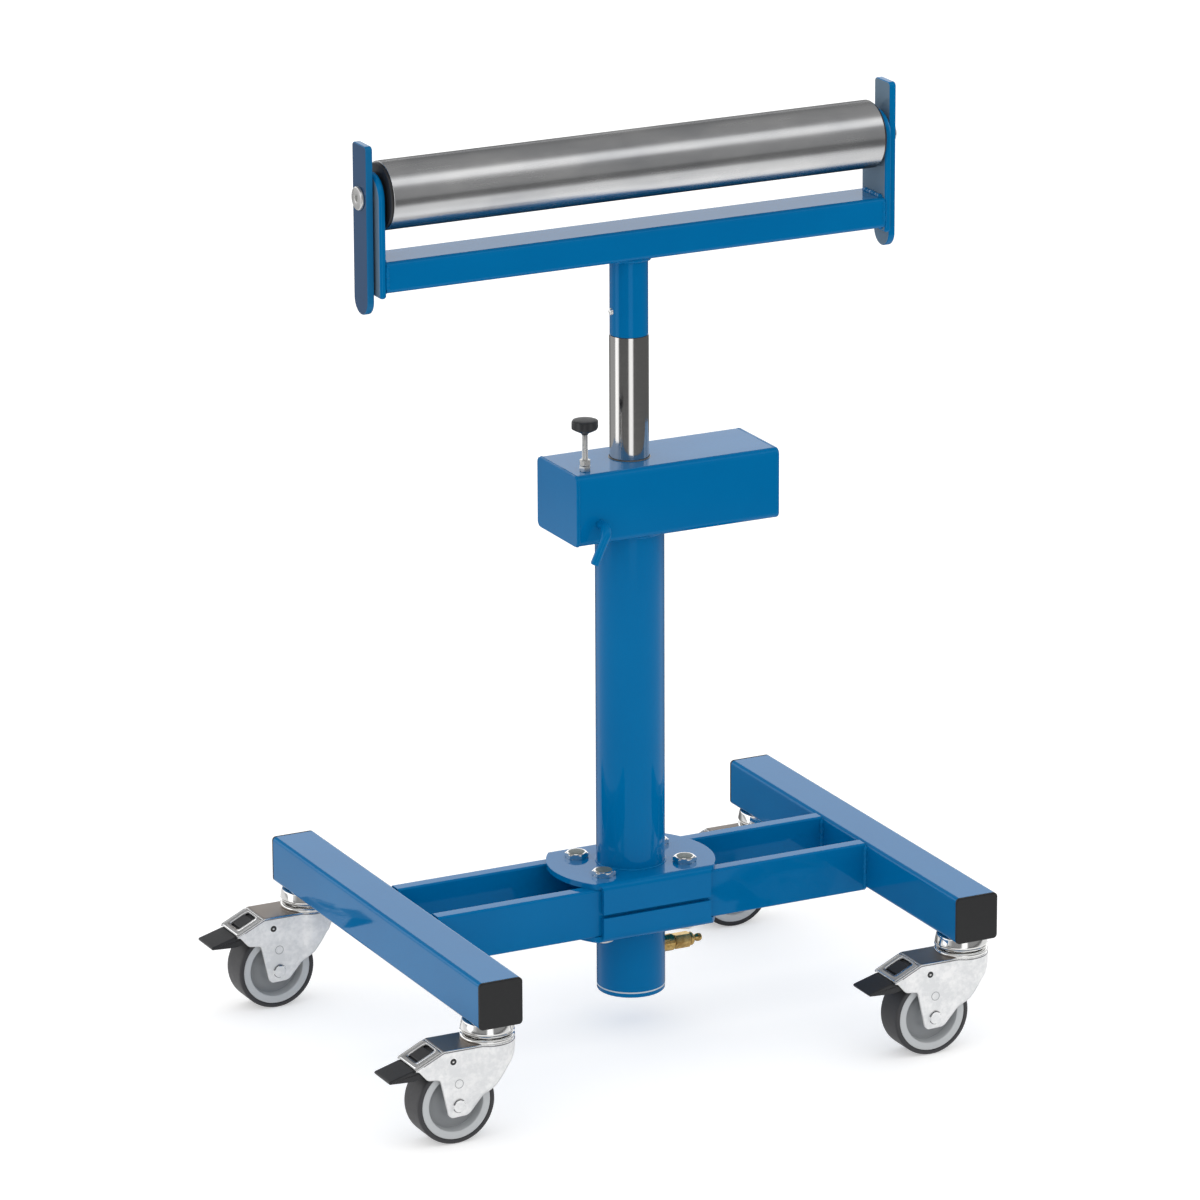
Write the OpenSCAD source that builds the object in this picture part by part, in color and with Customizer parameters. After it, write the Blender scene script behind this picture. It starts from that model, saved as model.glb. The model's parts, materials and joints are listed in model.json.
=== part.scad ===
// Height-adjustable roller stand on four braked swivel casters.
// The ram tube slides in the column and a tilting plate in the lock box grips it.
// +Z is up, X runs along the roller, -Y is the front, and Z = 0 is the floor.

/* [Base frame] */
// Length of the two side beams
beam_len = 470; // [400:1:600]
// Width of a side beam
beam_w = 45; // [40:1:60]
// Height of the side beams and of the cross rails
beam_h = 46.5; // [40:0.5:60]
// Wall of the side beams
beam_wall = 2.5; // [1.5:0.5:4]
// Outer corner radius of the side beams
beam_corner_r = 4; // [3:0.5:6]
// Distance between the middles of the side beams
beam_spacing = 509; // [450:1:700]
// Width of a cross rail
rail_w = 15; // [12:1:20]
// Wall of a cross rail
rail_wall = 2; // [1:0.5:3]
// Corner radius of a cross rail
rail_corner_r = 2.2; // [2.1:0.1:3]
// Distance between the middles of the cross rails
rail_spacing = 90; // [88:1:110]
// How far the cross rails reach below the beams
rail_drop = 2; // [0:0.5:6]
// Thickness of a beam end cap
cap_t = 3; // [2:0.5:6]
// Depth that an end cap plugs into its beam
cap_plug = 12; // [6:1:20]

/* [Hub] */
// Diameter of the two clamp plates
hub_d = 165; // [150:1:200]
// Thickness of the clamp plates
hub_t = 5.5; // [3:0.5:8]
// Outer bend radius of the plate skirts
skirt_bend_r = 6; // [5.5:0.5:9]
// Slit between the upper and the lower skirt
skirt_slit = 2.6; // [1:0.2:6]
// How far the slit lies below the middle of the rails
slit_drop = 2.5; // [0:0.5:8]
// Clamp bolt spacing along X
bolt_pitch_x = 88; // [80:1:100]
// Clamp bolt spacing along Y
bolt_pitch_y = 59; // [50:1:60]
// Clamp bolt shank diameter
bolt_d = 10; // [8:1:12]
// Clamp bolt head width across flats
bolt_af = 18; // [14:1:20]
// Clamp bolt head height
bolt_head_h = 6.5; // [4:0.5:9]
// Clamp nut height
bolt_nut_h = 8; // [5:1:10]

/* [Column] */
// Outer diameter of the column
column_d = 67; // [60:0.5:70]
// Wall of the column
column_wall = 3.25; // [2.5:0.25:5]
// Clear height under the column foot
foot_clear = 34; // [20:1:60]
// Thickness of the column foot
foot_t = 6; // [5:1:14]
// Height of the column from its foot to the lock box
column_len = 464.5; // [420:0.5:600]

/* [Air fitting] */
// Height of the fitting above the foot
air_rise = 33; // [20:1:40]
// Width across flats of the brass body
air_af = 14; // [12:1:18]
// Length of the brass body
air_len = 18; // [15:1:35]
// Diameter of the sealing flange on the column
air_flange_d = 17; // [17:0.5:22]
// Thickness of the sealing flange
air_flange_t = 12; // [1.5:0.5:14]
// Diameter of the plug collar
plug_collar_d = 13.5; // [13:0.5:18]
// Thickness of the plug collar
plug_collar_t = 5; // [4:0.5:8]
// Diameter of the plug tip
plug_tip_d = 8; // [6:0.5:10]
// Length of the plug tip
plug_tip_len = 8.5; // [6:0.5:12]
// Air passage
air_bore = 4; // [3:0.5:5]

/* [Lock box] */
// Length of the lock box
box_len = 217.5; // [190:0.5:260]
// Depth of the lock box
box_depth = 85.5; // [72:0.5:100]
// Height of the lock box
box_h = 70; // [60:1:90]
// Wall of the lock box
box_wall = 3; // [2:0.5:4]
// Outer corner radius of the lock box
box_corner_r = 6; // [5:0.5:10]
// Distance from the column axis to the left end of the box
box_left = 77.5; // [70:0.5:90]
// Height of the wiper ring
wiper_h = 2.5; // [2:0.5:8]
// Width of the wiper ring
wiper_w = 1.5; // [1:0.5:4]
// Thickness of the tilting brake plate
brake_t = 10; // [6:1:12]
// Width of the tilting brake plate
brake_w = 60; // [56:1:64]
// Height of the brake plate above the underside of the box
brake_rise = 29; // [26:1:40]
// Radial gap between the level brake plate and the ram
brake_gap = 0.7; // [0.5:0.1:1.2]
// Diameter of the pin that the brake plate tilts on
pin_d = 8; // [6:1:9]
// Distance of that pin from the right end of the box
pin_inset = 21; // [15:1:40]
// Wire of the brake spring
spring_wire = 3; // [2:0.5:3]

/* [Knob and lever] */
// Diameter of the star knob
knob_d = 26.5; // [20:0.5:34]
// Height of the star knob
knob_h = 14.5; // [14:0.5:26]
// Number of lobes on the star knob
knob_lobes = 6; // [5:1:8]
// Adjusting stud diameter
stud_d = 6; // [5:0.5:8]
// Free height of the stud under the knob
stud_free = 25; // [14:1:40]
// Stud nut width across flats
stud_nut_af = 10; // [9:0.5:13]
// Stud nut height
stud_nut_h = 5.5; // [4:0.5:8]
// Distance of the stud from the left end of the box
stud_in_x = 17.5; // [13:0.5:20]
// Distance of the stud from the front of the box
stud_in_y = 17.5; // [13:0.5:20]
// Release lever rod diameter
lever_d = 8.5; // [6:0.5:10]
// Height of the lever shaft above the underside of the box
lever_rise = 21; // [17:1:22]
// How far the lever shaft stands beside the stud, towards the column
lever_beside = 7; // [0:0.5:8]
// How far the lever shaft reaches inside the box
lever_reach = 14; // [10:1:20]
// Length of the finger that lifts the brake plate
finger_len = 10; // [6:1:12]
// Bend radius of the lever rod
lever_bend_r = 11; // [11:1:16]
// Length of the straight lever arm
lever_arm = 26; // [20:1:70]
// Lean of the hanging lever arm
lever_lean = 25; // [0:1:35]

/* [Ram] */
// Outer diameter of the ram tube
ram_d = 38; // [36:0.5:40]
// Wall of the ram tube
ram_wall = 3; // [2:0.5:5]
// Bare ram between the box and the head at rest
ram_out = 121.5; // [120:0.5:160]
// Ram length held in the column at rest
ram_in = 330; // [320:1:335]
// Length of the ram's guide piston
piston_len = 24; // [16:1:30]
// Length of the guide bush
bush_len = 40; // [25:1:60]

/* [Roller head] */
// Outer diameter of the painted head stem
stem_d = 37; // [34:0.5:38]
// Length of the head stem
stem_len = 77; // [60:0.5:120]
// Wall of the head stem
stem_wall = 3; // [2:0.5:5]
// Depth of the crossbar
cross_depth = 48; // [40:1:60]
// Height of the crossbar
cross_h = 30; // [25:1:50]
// Wall of the crossbar
cross_wall = 2.5; // [1.5:0.5:4]
// Corner radius of the crossbar
cross_corner_r = 3; // [3:0.5:6]
// Distance between the two end lugs
head_inner = 528; // [400:1:700]
// Thickness of an end lug
lug_t = 7; // [5:0.5:12]
// How far a lug reaches below the crossbar
lug_drop = 4.7; // [2:0.1:12]
// Roller diameter
roller_d = 65.6; // [50:0.1:80]
// Wall of the roller tube
roller_wall = 3; // [2:0.5:5]
// Roller axis above the crossbar
roller_rise = 59; // [52:1:90]
// Gap between the roller tube and each lug
roller_end_gap = 4.8; // [2:0.1:8]
// Axle diameter
axle_d = 16; // [12:1:20]

/* [Guide plates] */
// Width of a guide plate
guide_w = 30; // [26:1:40]
// Thickness of a guide plate
guide_t = 7; // [4:0.5:10]
// Reach of the short end from the pivot
guide_short = 51.5; // [40:0.5:80]
// Reach of the long end from the pivot
guide_long = 112; // [90:1:160]
// Spacer washer thickness between lug and plate
guide_spacer_t = 2; // [1:0.5:4]
// Pivot bolt diameter
pivot_d = 10; // [8:1:12]
// Pivot bolt head diameter
pivot_head_d = 22.5; // [18:0.5:26]
// Pivot bolt head height
pivot_head_h = 3.5; // [3:0.5:8]

/* [Casters] */
// Wheel diameter
wheel_d = 80; // [75:1:100]
// Wheel width
wheel_w = 32; // [25:1:36]
// Tyre thickness
tyre_t = 3; // [2:0.5:6]
// Swivel offset of the wheel axle
caster_trail = 40; // [38:1:45]
// Distance of each swivel axis from its beam end
caster_inset = 31; // [28:0.5:40]
// Fork plate thickness
fork_t = 2.3; // [1.5:0.1:3]
// Gap between the wheel and the fork cheeks
cheek_gap = 3; // [3:0.1:6]
// Gap between the wheel and the fork crown
crown_gap = 14.5; // [14:0.5:20]
// Radius of the fork crown
crown_r = 26; // [25:0.5:30]
// Height of the swivel race
race_h = 17.5; // [14:0.5:24]
// Diameter of the swivel race
race_d = 52; // [50:1:60]
// Wheel axle diameter
wheel_axle_d = 12; // [8:1:14]
// Width of the brake pedal
pedal_w = 34; // [28:1:36]
// Brake pedal pin diameter
pedal_pin_d = 6; // [4:0.5:6]

/* [Hidden] */
$fn = 64;

// Radial clearance of turning and sliding fits
running = 0.05;
// Slack of a plug or shank in a hole that doesn't guide it
slack = 0.25;
// Air kept between parts that pass each other
air = 0.3;
// Overrun of every cut
cut = 1;

// Colours
paint = [0.02, 0.36, 0.6];
zinc = [0.78, 0.79, 0.8];
steel = [0.6, 0.6, 0.62];
black = [0.08, 0.08, 0.09];
brass = [0.75, 0.6, 0.32];
tread = [0.2, 0.21, 0.22];
rim_grey = [0.72, 0.73, 0.74];

// Heights, from the floor up
wheel_r = wheel_d / 2;
crown_z0 = wheel_d + crown_gap;
crown_z1 = crown_z0 + fork_t;
beam_z0 = crown_z1 + race_h;
beam_z1 = beam_z0 + beam_h;
beam_mid_z = (beam_z0 + beam_z1) / 2;
rail_h = beam_h + rail_drop;
rail_z0 = beam_z1 - rail_h;
column_z0 = foot_clear + foot_t;
box_z0 = column_z0 + column_len;
box_z1 = box_z0 + box_h;
ram_z0 = box_z0 - ram_in;
ram_z1 = box_z1 + ram_out;
cross_z0 = ram_z1 + stem_len;
cross_z1 = cross_z0 + cross_h;
roller_z = cross_z1 + roller_rise;
air_z = column_z0 + air_rise;

// Places across
beam_x = beam_spacing / 2;
caster_y = beam_len / 2 - caster_inset;
rail_len = beam_spacing - beam_w;
rail_y = rail_spacing / 2;
skirt_y = rail_y + rail_w / 2 + air + hub_t;
skirt_half = sqrt(pow(hub_d / 2, 2) - pow(skirt_y, 2));
column_r = column_d / 2;
column_bore_r = column_r - column_wall;
ram_r = ram_d / 2;
box_x0 = -box_left;
box_x1 = box_len - box_left;
stud_x = box_x0 + stud_in_x;
stud_y = -box_depth / 2 + stud_in_y;
lug_x = head_inner / 2;
guide_x = lug_x + lug_t + guide_spacer_t;
head_reach = guide_x + guide_t + pivot_head_h;
roller_half = lug_x - roller_end_gap;
wheel_to_fork = wheel_w / 2 + cheek_gap;
fork_half = wheel_to_fork + fork_t;

// Side outline of a fork leg about the wheel axle, in shares of the wheel radius
leg_shares = [
    [-0.8, 0.755], [-0.47, 0.71], [-0.27, -0.21], [-0.19, -0.28], [0.19, -0.265], [0.28, -0.225], [0.62, 0.15],
    [0.92, 0.4]
];
// Rear edge of the fork, in shares of the way from the last leg point to the crown's rear top corner
rear_shares = [[0.28, 0.255], [0.41, 0.38], [0.61, 0.5], [0.77, 0.65], [0.88, 0.8]];
// Hood: where the crown starts to slope and where it ends, in shares of the wheel radius
hood_bend_share = -0.31;
hood_end_share = -1.08;
hood_drop_share = 0.34;
// Window in the hood slope, in shares of the slope's length from its lower end
window_shares = [0.14, 0.9];
window_w = 26;
// Brake pedal pivot about the axle, in shares of the wheel radius
pedal_pivot_shares = [-0.11, 1.105];
// Brake pedal outline about the axle, in shares of the wheel radius
pedal_shares = [
    [0.06, 1.035], [0.06, 1.2], [-0.2, 1.29], [-0.4, 1.301], [-1.1, 0.992], [-1.1, 1.03],
    [-1.72, 0.855], [-1.745, 0.82], [-1.72, 0.78], [-1.1, 0.745], [-0.83, 0.8],
    [-0.63, 0.885], [-0.38, 0.995], [-0.12, 1.03]
];
pedal_reach_share = 1.745;

// The column axis stands beside the middle of the object's box, because the casters trail to -X
left_reach = max(head_reach, beam_x + caster_trail + pedal_reach_share * wheel_r);
right_reach = max(head_reach, beam_x + max(beam_w, race_d) / 2);
shift_x = (left_reach - right_reach) / 2;

// Brake plate place inside the lock box
brake_z0 = box_z0 + brake_rise;
brake_x0 = box_x0 + box_wall + air;
pin_x = box_x1 - pin_inset;
brake_x1 = pin_x + pin_d;
stud_end_z = box_z1 - box_wall - stud_d * 2 / 3;
lever_z = box_z0 + lever_rise;
lever_x = stud_x + lever_beside;

module about_column() {
    translate([shift_x, 0, 0]) children();
}

module round_rect(w, h, r) {
    square([w - 2 * r, h], center = true);
    square([w, h - 2 * r], center = true);
    for (x = [-1, 1], y = [-1, 1])
        translate([x * (w / 2 - r), y * (h / 2 - r)]) circle(r, $fn = 32);
}

module tube_section(w, h, r, wall) {
    difference() {
        round_rect(w, h, r);
        round_rect(w - 2 * wall, h - 2 * wall, max(r - wall, wall / 5));
    }
}

module along_x(len) {
    rotate([90, 0, 90]) linear_extrude(len, center = true) children();
}

module along_y(len) {
    rotate([90, 0, 0]) linear_extrude(len, center = true) children();
}

module ring(d, bore, h) {
    difference() {
        cylinder(h, d = d);
        translate([0, 0, -cut]) cylinder(h + 2 * cut, d = bore);
    }
}

module hex(af, h) {
    cylinder(h, d = af / cos(30), $fn = 6);
}

// Base frame

module beam(side) {
    color(paint) about_column() difference() {
        translate([side * beam_x, 0, beam_mid_z])
            along_y(beam_len - 2 * cap_t) tube_section(beam_w, beam_h, beam_corner_r, beam_wall);
        for (y = [-caster_y, caster_y])
            translate([side * beam_x, y, beam_z0 - cut]) cylinder(beam_wall + 2 * cut, d = wheel_axle_d + 2 * slack);
    }
}

module left_beam() beam(-1);
module right_beam() beam(1);

module beam_end_caps() {
    inner = 2 * beam_wall + 2 * slack;
    color(black) about_column() for (x = [-beam_x, beam_x], side = [-1, 1]) {
        translate([x, side * (beam_len - cap_t) / 2, beam_mid_z])
            along_y(cap_t) round_rect(beam_w, beam_h, beam_corner_r);
        translate([x, side * (beam_len / 2 - cap_t - cap_plug / 2), beam_mid_z])
            along_y(cap_plug) tube_section(beam_w - inner, beam_h - inner, beam_wall, beam_wall);
    }
}

module rail(side) {
    color(paint) about_column() translate([0, side * rail_y, rail_z0 + rail_h / 2])
        along_x(rail_len) tube_section(rail_w, rail_h, rail_corner_r, rail_wall);
}

module front_rail() rail(-1);
module rear_rail() rail(1);

// Hub: two round plates whose straight sides are bent round the rails

module hub_plate(longer) {
    flat_y = skirt_y - skirt_bend_r;
    skirt_h = rail_h / 2 + hub_t + longer - skirt_slit / 2;
    difference() {
        union() {
            intersection() {
                cylinder(hub_t, d = hub_d);
                translate([-hub_d / 2, -flat_y, 0]) cube([hub_d, 2 * flat_y, hub_t]);
            }
            for (m = [0, 1]) mirror([0, m, 0]) {
                translate([0, flat_y, hub_t - skirt_bend_r]) along_x(2 * skirt_half) intersection() {
                    difference() {
                        circle(skirt_bend_r);
                        circle(skirt_bend_r - hub_t);
                    }
                    square(skirt_bend_r);
                }
                translate([-skirt_half, skirt_y - hub_t, hub_t - skirt_h])
                    cube([2 * skirt_half, hub_t, skirt_h - skirt_bend_r]);
            }
        }
        translate([0, 0, -cut]) cylinder(hub_t + 2 * cut, d = column_d + 2 * slack);
        at_hub_bolts() translate([0, 0, -cut]) cylinder(hub_t + 2 * cut, d = bolt_d + 2 * slack);
    }
}

module at_hub_bolts() {
    for (x = [-1, 1], y = [-1, 1]) translate([x * bolt_pitch_x / 2, y * bolt_pitch_y / 2, 0]) children();
}

module hub_top_plate() {
    color(paint) about_column() translate([0, 0, beam_z1]) hub_plate(slit_drop);
}

module hub_bottom_plate() {
    color(paint) about_column() translate([0, 0, rail_z0]) mirror([0, 0, 1]) hub_plate(-slit_drop);
}

module hub_bolts() {
    shank = rail_h + 2 * hub_t + bolt_nut_h + cut;
    color(zinc) about_column() at_hub_bolts() translate([0, 0, beam_z1 + hub_t]) {
        hex(bolt_af, bolt_head_h);
        translate([0, 0, -shank]) cylinder(shank, d = bolt_d);
    }
}

module hub_nuts() {
    color(zinc) about_column() at_hub_bolts() translate([0, 0, rail_z0 - hub_t - bolt_nut_h])
        difference() {
            hex(bolt_af, bolt_nut_h);
            translate([0, 0, -cut]) cylinder(bolt_nut_h + 2 * cut, d = bolt_d);
        }
}

// Column

module column_tube() {
    color(paint) about_column() difference() {
        translate([0, 0, column_z0]) cylinder(column_len, r = column_r);
        translate([0, 0, column_z0 - cut]) cylinder(column_len + 2 * cut, r = column_bore_r);
        translate([0, 0, air_z]) rotate([0, 90, 0]) cylinder(column_r + cut, d = air_shank_d() + 2 * slack);
    }
}

function air_shank_d() = air_bore + 2 * column_wall;

module column_foot() {
    chamfer = foot_t / 3;
    color(paint) about_column() translate([0, 0, foot_clear]) rotate_extrude() polygon([
        [0, 0], [column_r - chamfer, 0], [column_r - slack, chamfer], [column_r - slack, foot_t],
        [column_bore_r - slack, foot_t], [column_bore_r - slack, foot_t + chamfer], [0, foot_t + chamfer]
    ]);
}

// Air fitting

module air_adapter() {
    color(brass) about_column() translate([0, 0, air_z]) rotate([0, 90, 0]) difference() {
        union() {
            translate([0, 0, column_bore_r + air]) cylinder(column_wall, d = air_shank_d());
            difference() {
                cylinder(column_r + air_flange_t, d = air_flange_d);
                rotate([0, 90, 0]) cylinder(air_flange_d + 2 * cut, r = column_r + slack, center = true);
                translate([0, 0, -cut]) cylinder(column_bore_r, d = air_flange_d + 2 * cut);
            }
            translate([0, 0, column_r + air_flange_t]) rotate([0, 0, 30]) hex(air_af, air_len);
        }
        cylinder(column_r + air_flange_t + air_len + cut, d = air_bore);
    }
}

module air_plug() {
    neck = plug_tip_d * 0.8;
    color(brass) about_column() translate([column_r + air_flange_t + air_len, 0, air_z]) rotate([0, 90, 0])
        difference() {
            union() {
                cylinder(plug_collar_t, d = plug_collar_d);
                cylinder(plug_collar_t + plug_tip_len, d = neck);
                translate([0, 0, plug_collar_t + plug_tip_len / 2])
                    cylinder(plug_tip_len / 2, d = plug_tip_d);
            }
            translate([0, 0, -cut]) cylinder(plug_collar_t + plug_tip_len + 2 * cut, d = air_bore);
        }
}

// Lock box

module lock_box() {
    color(paint) about_column() difference() {
        translate([(box_x0 + box_x1) / 2, 0, (box_z0 + box_z1) / 2])
            along_x(box_len - 2 * box_wall) tube_section(box_depth, box_h, box_corner_r, box_wall);
        translate([0, 0, box_z0 - cut]) cylinder(box_h + 2 * cut, r = ram_r + air + slack);
        translate([stud_x, stud_y, box_z1 - box_wall - cut]) cylinder(box_wall + 2 * cut, d = stud_d + 2 * slack);
        translate([lever_x, -box_depth / 2 + box_wall / 2, lever_z]) rotate([90, 0, 0])
            cylinder(box_wall + 2 * cut, d = lever_d + 2 * running, center = true);
    }
}

module lock_box_ends() {
    color(paint) about_column() for (x = [box_x0 + box_wall / 2, box_x1 - box_wall / 2])
        translate([x, 0, (box_z0 + box_z1) / 2]) along_x(box_wall) round_rect(box_depth, box_h, box_corner_r);
}

module tube_wiper() {
    color(black) about_column() translate([0, 0, box_z1])
        ring(2 * (ram_r + air + wiper_w), 2 * (ram_r + air), wiper_h);
}

module guide_bush() {
    color(steel) about_column() translate([0, 0, box_z0 - bush_len])
        ring(2 * column_bore_r, 2 * (ram_r + running), bush_len);
}

module brake_pivot_pin() {
    color(steel) about_column() translate([pin_x, 0, brake_z0 + brake_t / 2]) rotate([90, 0, 0])
        cylinder(box_depth - 2 * box_wall, d = pin_d, center = true);
}

module brake_spring() {
    spring_d = stud_d + 2 * spring_wire;
    base_z = brake_z0 + brake_t;
    color(steel) about_column() translate([stud_x, stud_y, base_z])
        ring(spring_d, stud_d + 2 * air, box_z1 - box_wall - base_z);
}

module lock_nuts() {
    color(zinc) about_column() translate([stud_x, stud_y, box_z1]) for (n = [0, 1])
        translate([0, 0, n * (stud_nut_h + air)]) rotate([0, 0, n * 4]) difference() {
            hex(stud_nut_af, stud_nut_h);
            translate([0, 0, -cut]) cylinder(stud_nut_h + 2 * cut, d = stud_d + 2 * running);
        }
}

// Ram and roller head

module ram_tube() {
    color(steel) about_column() translate([0, 0, ram_z0]) ring(ram_d, ram_d - 2 * ram_wall, ram_z1 - ram_z0);
}

module ram_plug() {
    plug_len = stem_len / 2;
    color(steel) about_column() {
        translate([0, 0, ram_z1 - plug_len]) cylinder(plug_len, d = ram_d - 2 * ram_wall);
        translate([0, 0, ram_z1]) cylinder(plug_len, d = stem_d - 2 * stem_wall);
    }
}

module ram_piston() {
    seal_w = piston_len / 6;
    color(steel) about_column() translate([0, 0, ram_z0 - piston_len]) rotate_extrude() polygon([
        [0, 0], [column_bore_r - running, 0],
        [column_bore_r - running, piston_len / 3], [column_bore_r - seal_w, piston_len / 3],
        [column_bore_r - seal_w, piston_len / 3 + seal_w], [column_bore_r - running, piston_len / 3 + seal_w],
        [column_bore_r - running, piston_len], [ram_r - ram_wall, piston_len],
        [ram_r - ram_wall, 2 * piston_len], [0, 2 * piston_len]
    ]);
}

module piston_seal() {
    seal_w = piston_len / 6;
    color(black) about_column() translate([0, 0, ram_z0 - piston_len * 2 / 3])
        ring(2 * (column_bore_r - air), 2 * (column_bore_r - seal_w), seal_w);
}

module head_stem() {
    color(paint) about_column() difference() {
        translate([0, 0, ram_z1]) ring(stem_d, stem_d - 2 * stem_wall, stem_len);
        translate([0, 0, screw_z()]) rotate([0, -90, 0]) cylinder(stem_d, d = screw_d());
    }
}

function screw_z() = ram_z1 + stem_len * 0.31;
function screw_d() = stem_wall * 5 / 3;

module stem_screw() {
    color(zinc) about_column() translate([0, 0, screw_z()]) rotate([0, -90, 0]) {
        translate([0, 0, stem_d / 2 - stem_wall]) cylinder(stem_wall, d = screw_d());
        difference() {
            cylinder(stem_d / 2 + screw_d() / 2, d = screw_d() * 1.4);
            rotate([0, 90, 0]) cylinder(stem_d, d = stem_d, center = true);
        }
    }
}

module crossbar() {
    color(paint) about_column() translate([0, 0, (cross_z0 + cross_z1) / 2])
        along_x(head_inner) tube_section(cross_depth, cross_h, cross_corner_r, cross_wall);
}

module lug(side) {
    lug_h = roller_z - cross_z0 + lug_drop;
    color(paint) about_column() translate([side * (lug_x + lug_t / 2), 0, roller_z]) difference() {
        along_x(lug_t) {
            circle(d = cross_depth);
            translate([-cross_depth / 2, -lug_h]) square([cross_depth, lug_h]);
        }
        along_x(lug_t + 2 * cut) circle(d = axle_d);
    }
}

module left_lug() lug(-1);
module right_lug() lug(1);

module roller_axle() {
    axle_len = head_inner + 2 * lug_t;
    color(steel) about_column() translate([0, 0, roller_z]) difference() {
        along_x(axle_len) circle(d = axle_d);
        for (side = [-1, 1]) translate([side * axle_len / 2, 0, 0]) along_x(2 * axle_d) circle(d = pivot_d);
    }
}

module guide_spacers() {
    color(zinc) about_column() for (side = [-1, 1])
        translate([side * (guide_x - guide_spacer_t / 2), 0, roller_z]) along_x(guide_spacer_t) difference() {
            circle(d = axle_d + 2 * guide_spacer_t);
            circle(d = pivot_d);
        }
}

module pivot_bolts() {
    shank = axle_d + guide_spacer_t + guide_t;
    color(zinc) about_column() for (side = [-1, 1]) {
        translate([side * (guide_x + guide_t + air - shank / 2), 0, roller_z]) along_x(shank) circle(d = pivot_d);
        translate([side * (head_reach - (pivot_head_h - air) / 2), 0, roller_z]) difference() {
            along_x(pivot_head_h - air) circle(d = pivot_head_d);
            translate([side * pivot_head_h / 2, 0, 0]) rotate([0, 90, 0])
                translate([0, 0, -pivot_head_h / 2]) hex(pivot_d * 0.7, pivot_head_h);
        }
    }
}

module guide_plate(side) {
    round_r = guide_w / 2;
    color(paint) about_column() translate([side * (guide_x + guide_t / 2), 0, roller_z]) difference() {
        along_x(guide_t) {
            translate([-round_r, -guide_long + round_r]) square([guide_w, guide_long - round_r + guide_short]);
            translate([0, -guide_long + round_r]) circle(round_r);
        }
        along_x(guide_t + 2 * cut) circle(d = pivot_d + 2 * running);
    }
}

module left_guide_plate() guide_plate(-1);
module right_guide_plate() guide_plate(1);

module roller_tube() {
    color(zinc) about_column() translate([0, 0, roller_z]) along_x(2 * roller_half) difference() {
        circle(d = roller_d);
        circle(d = roller_d - 2 * roller_wall);
    }
}

function bearing_d() = 2 * axle_d;
function bearing_w() = axle_d * 0.75;

module roller_end_caps() {
    lip = roller_end_gap / 2;
    depth = 2 * bearing_w();
    color(black) about_column() for (m = [0, 1]) mirror([m, 0, 0])
        translate([roller_half + lip, 0, roller_z]) rotate([0, -90, 0]) difference() {
            union() {
                cylinder(lip, d = roller_d - roller_wall);
                cylinder(depth, d = roller_d - 2 * roller_wall);
            }
            translate([0, 0, -cut]) cylinder(depth + 2 * cut, d = axle_d + 4 * slack);
            translate([0, 0, depth - bearing_w()]) cylinder(depth, d = bearing_d());
        }
}

module roller_bearings() {
    color(steel) about_column() for (m = [0, 1]) mirror([m, 0, 0])
        translate([roller_half + roller_end_gap / 2 - bearing_w(), 0, roller_z]) rotate([0, -90, 0])
            ring(bearing_d(), axle_d + 2 * running, bearing_w());
}

// Brake plate, release lever, adjusting stud and knob

module brake_plate() {
    color(steel) about_column() difference() {
        translate([brake_x0, -brake_w / 2, brake_z0]) cube([brake_x1 - brake_x0, brake_w, brake_t]);
        translate([0, 0, brake_z0 - cut]) cylinder(brake_t + 2 * cut, r = ram_r + brake_gap);
        translate([pin_x, 0, brake_z0 + brake_t / 2]) rotate([90, 0, 0])
            cylinder(brake_w + 2 * cut, d = pin_d + 2 * running, center = true);
    }
}

module release_lever() {
    inner = box_wall + lever_reach;
    straight = lever_bend_r - box_wall;
    finger_t = lever_d * 0.7;
    color(paint) about_column() translate([lever_x, -box_depth / 2, lever_z]) {
        rotate([0, lever_lean, 0]) translate([0, -straight, -lever_bend_r]) {
            translate([0, straight + inner, lever_bend_r]) rotate([90, 0, 0])
                cylinder(inner + straight, d = lever_d);
            rotate([180, -90, 0]) rotate_extrude(angle = 90) translate([lever_bend_r, 0]) circle(d = lever_d);
            translate([0, -lever_bend_r, -lever_arm]) cylinder(lever_arm, d = lever_d);
        }
        translate([-lever_d / 2, inner - finger_t, 0])
            cube([lever_d / 2 + finger_len, finger_t, brake_z0 - air - lever_z]);
    }
}

module adjusting_stud() {
    top_z = box_z1 + 2 * stud_nut_h + air + stud_free + knob_h / 3;
    color(zinc) about_column() translate([stud_x, stud_y, stud_end_z]) cylinder(top_z - stud_end_z, d = stud_d);
}

module star_knob() {
    base_z = box_z1 + 2 * stud_nut_h + air + stud_free;
    lobe_r = knob_d / 7;
    ring_r = knob_d / 2 - lobe_r;
    color(black) about_column() translate([stud_x, stud_y, base_z]) difference() {
        intersection() {
            union() {
                cylinder(knob_h, r = ring_r);
                for (n = [0 : knob_lobes - 1]) rotate([0, 0, n * 360 / knob_lobes]) translate([ring_r, 0, 0])
                    cylinder(knob_h, r = lobe_r, $fn = 24);
            }
            rotate_extrude() polygon([
                [0, 0], [stud_d * 0.8, 0], [stud_d * 0.9, knob_h / 6], [knob_d / 2, knob_h * 0.4],
                [knob_d / 2, knob_h * 0.8], [knob_d / 3, knob_h * 0.96], [0, knob_h]
            ]);
        }
        translate([0, 0, -cut]) cylinder(knob_h / 3 + cut, d = stud_d);
    }
}

// Casters

module at_caster(x, y) {
    about_column() translate([x * beam_x, y * caster_y, 0]) children();
}

module at_axle() {
    translate([-caster_trail, 0, wheel_r]) children();
}

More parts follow.
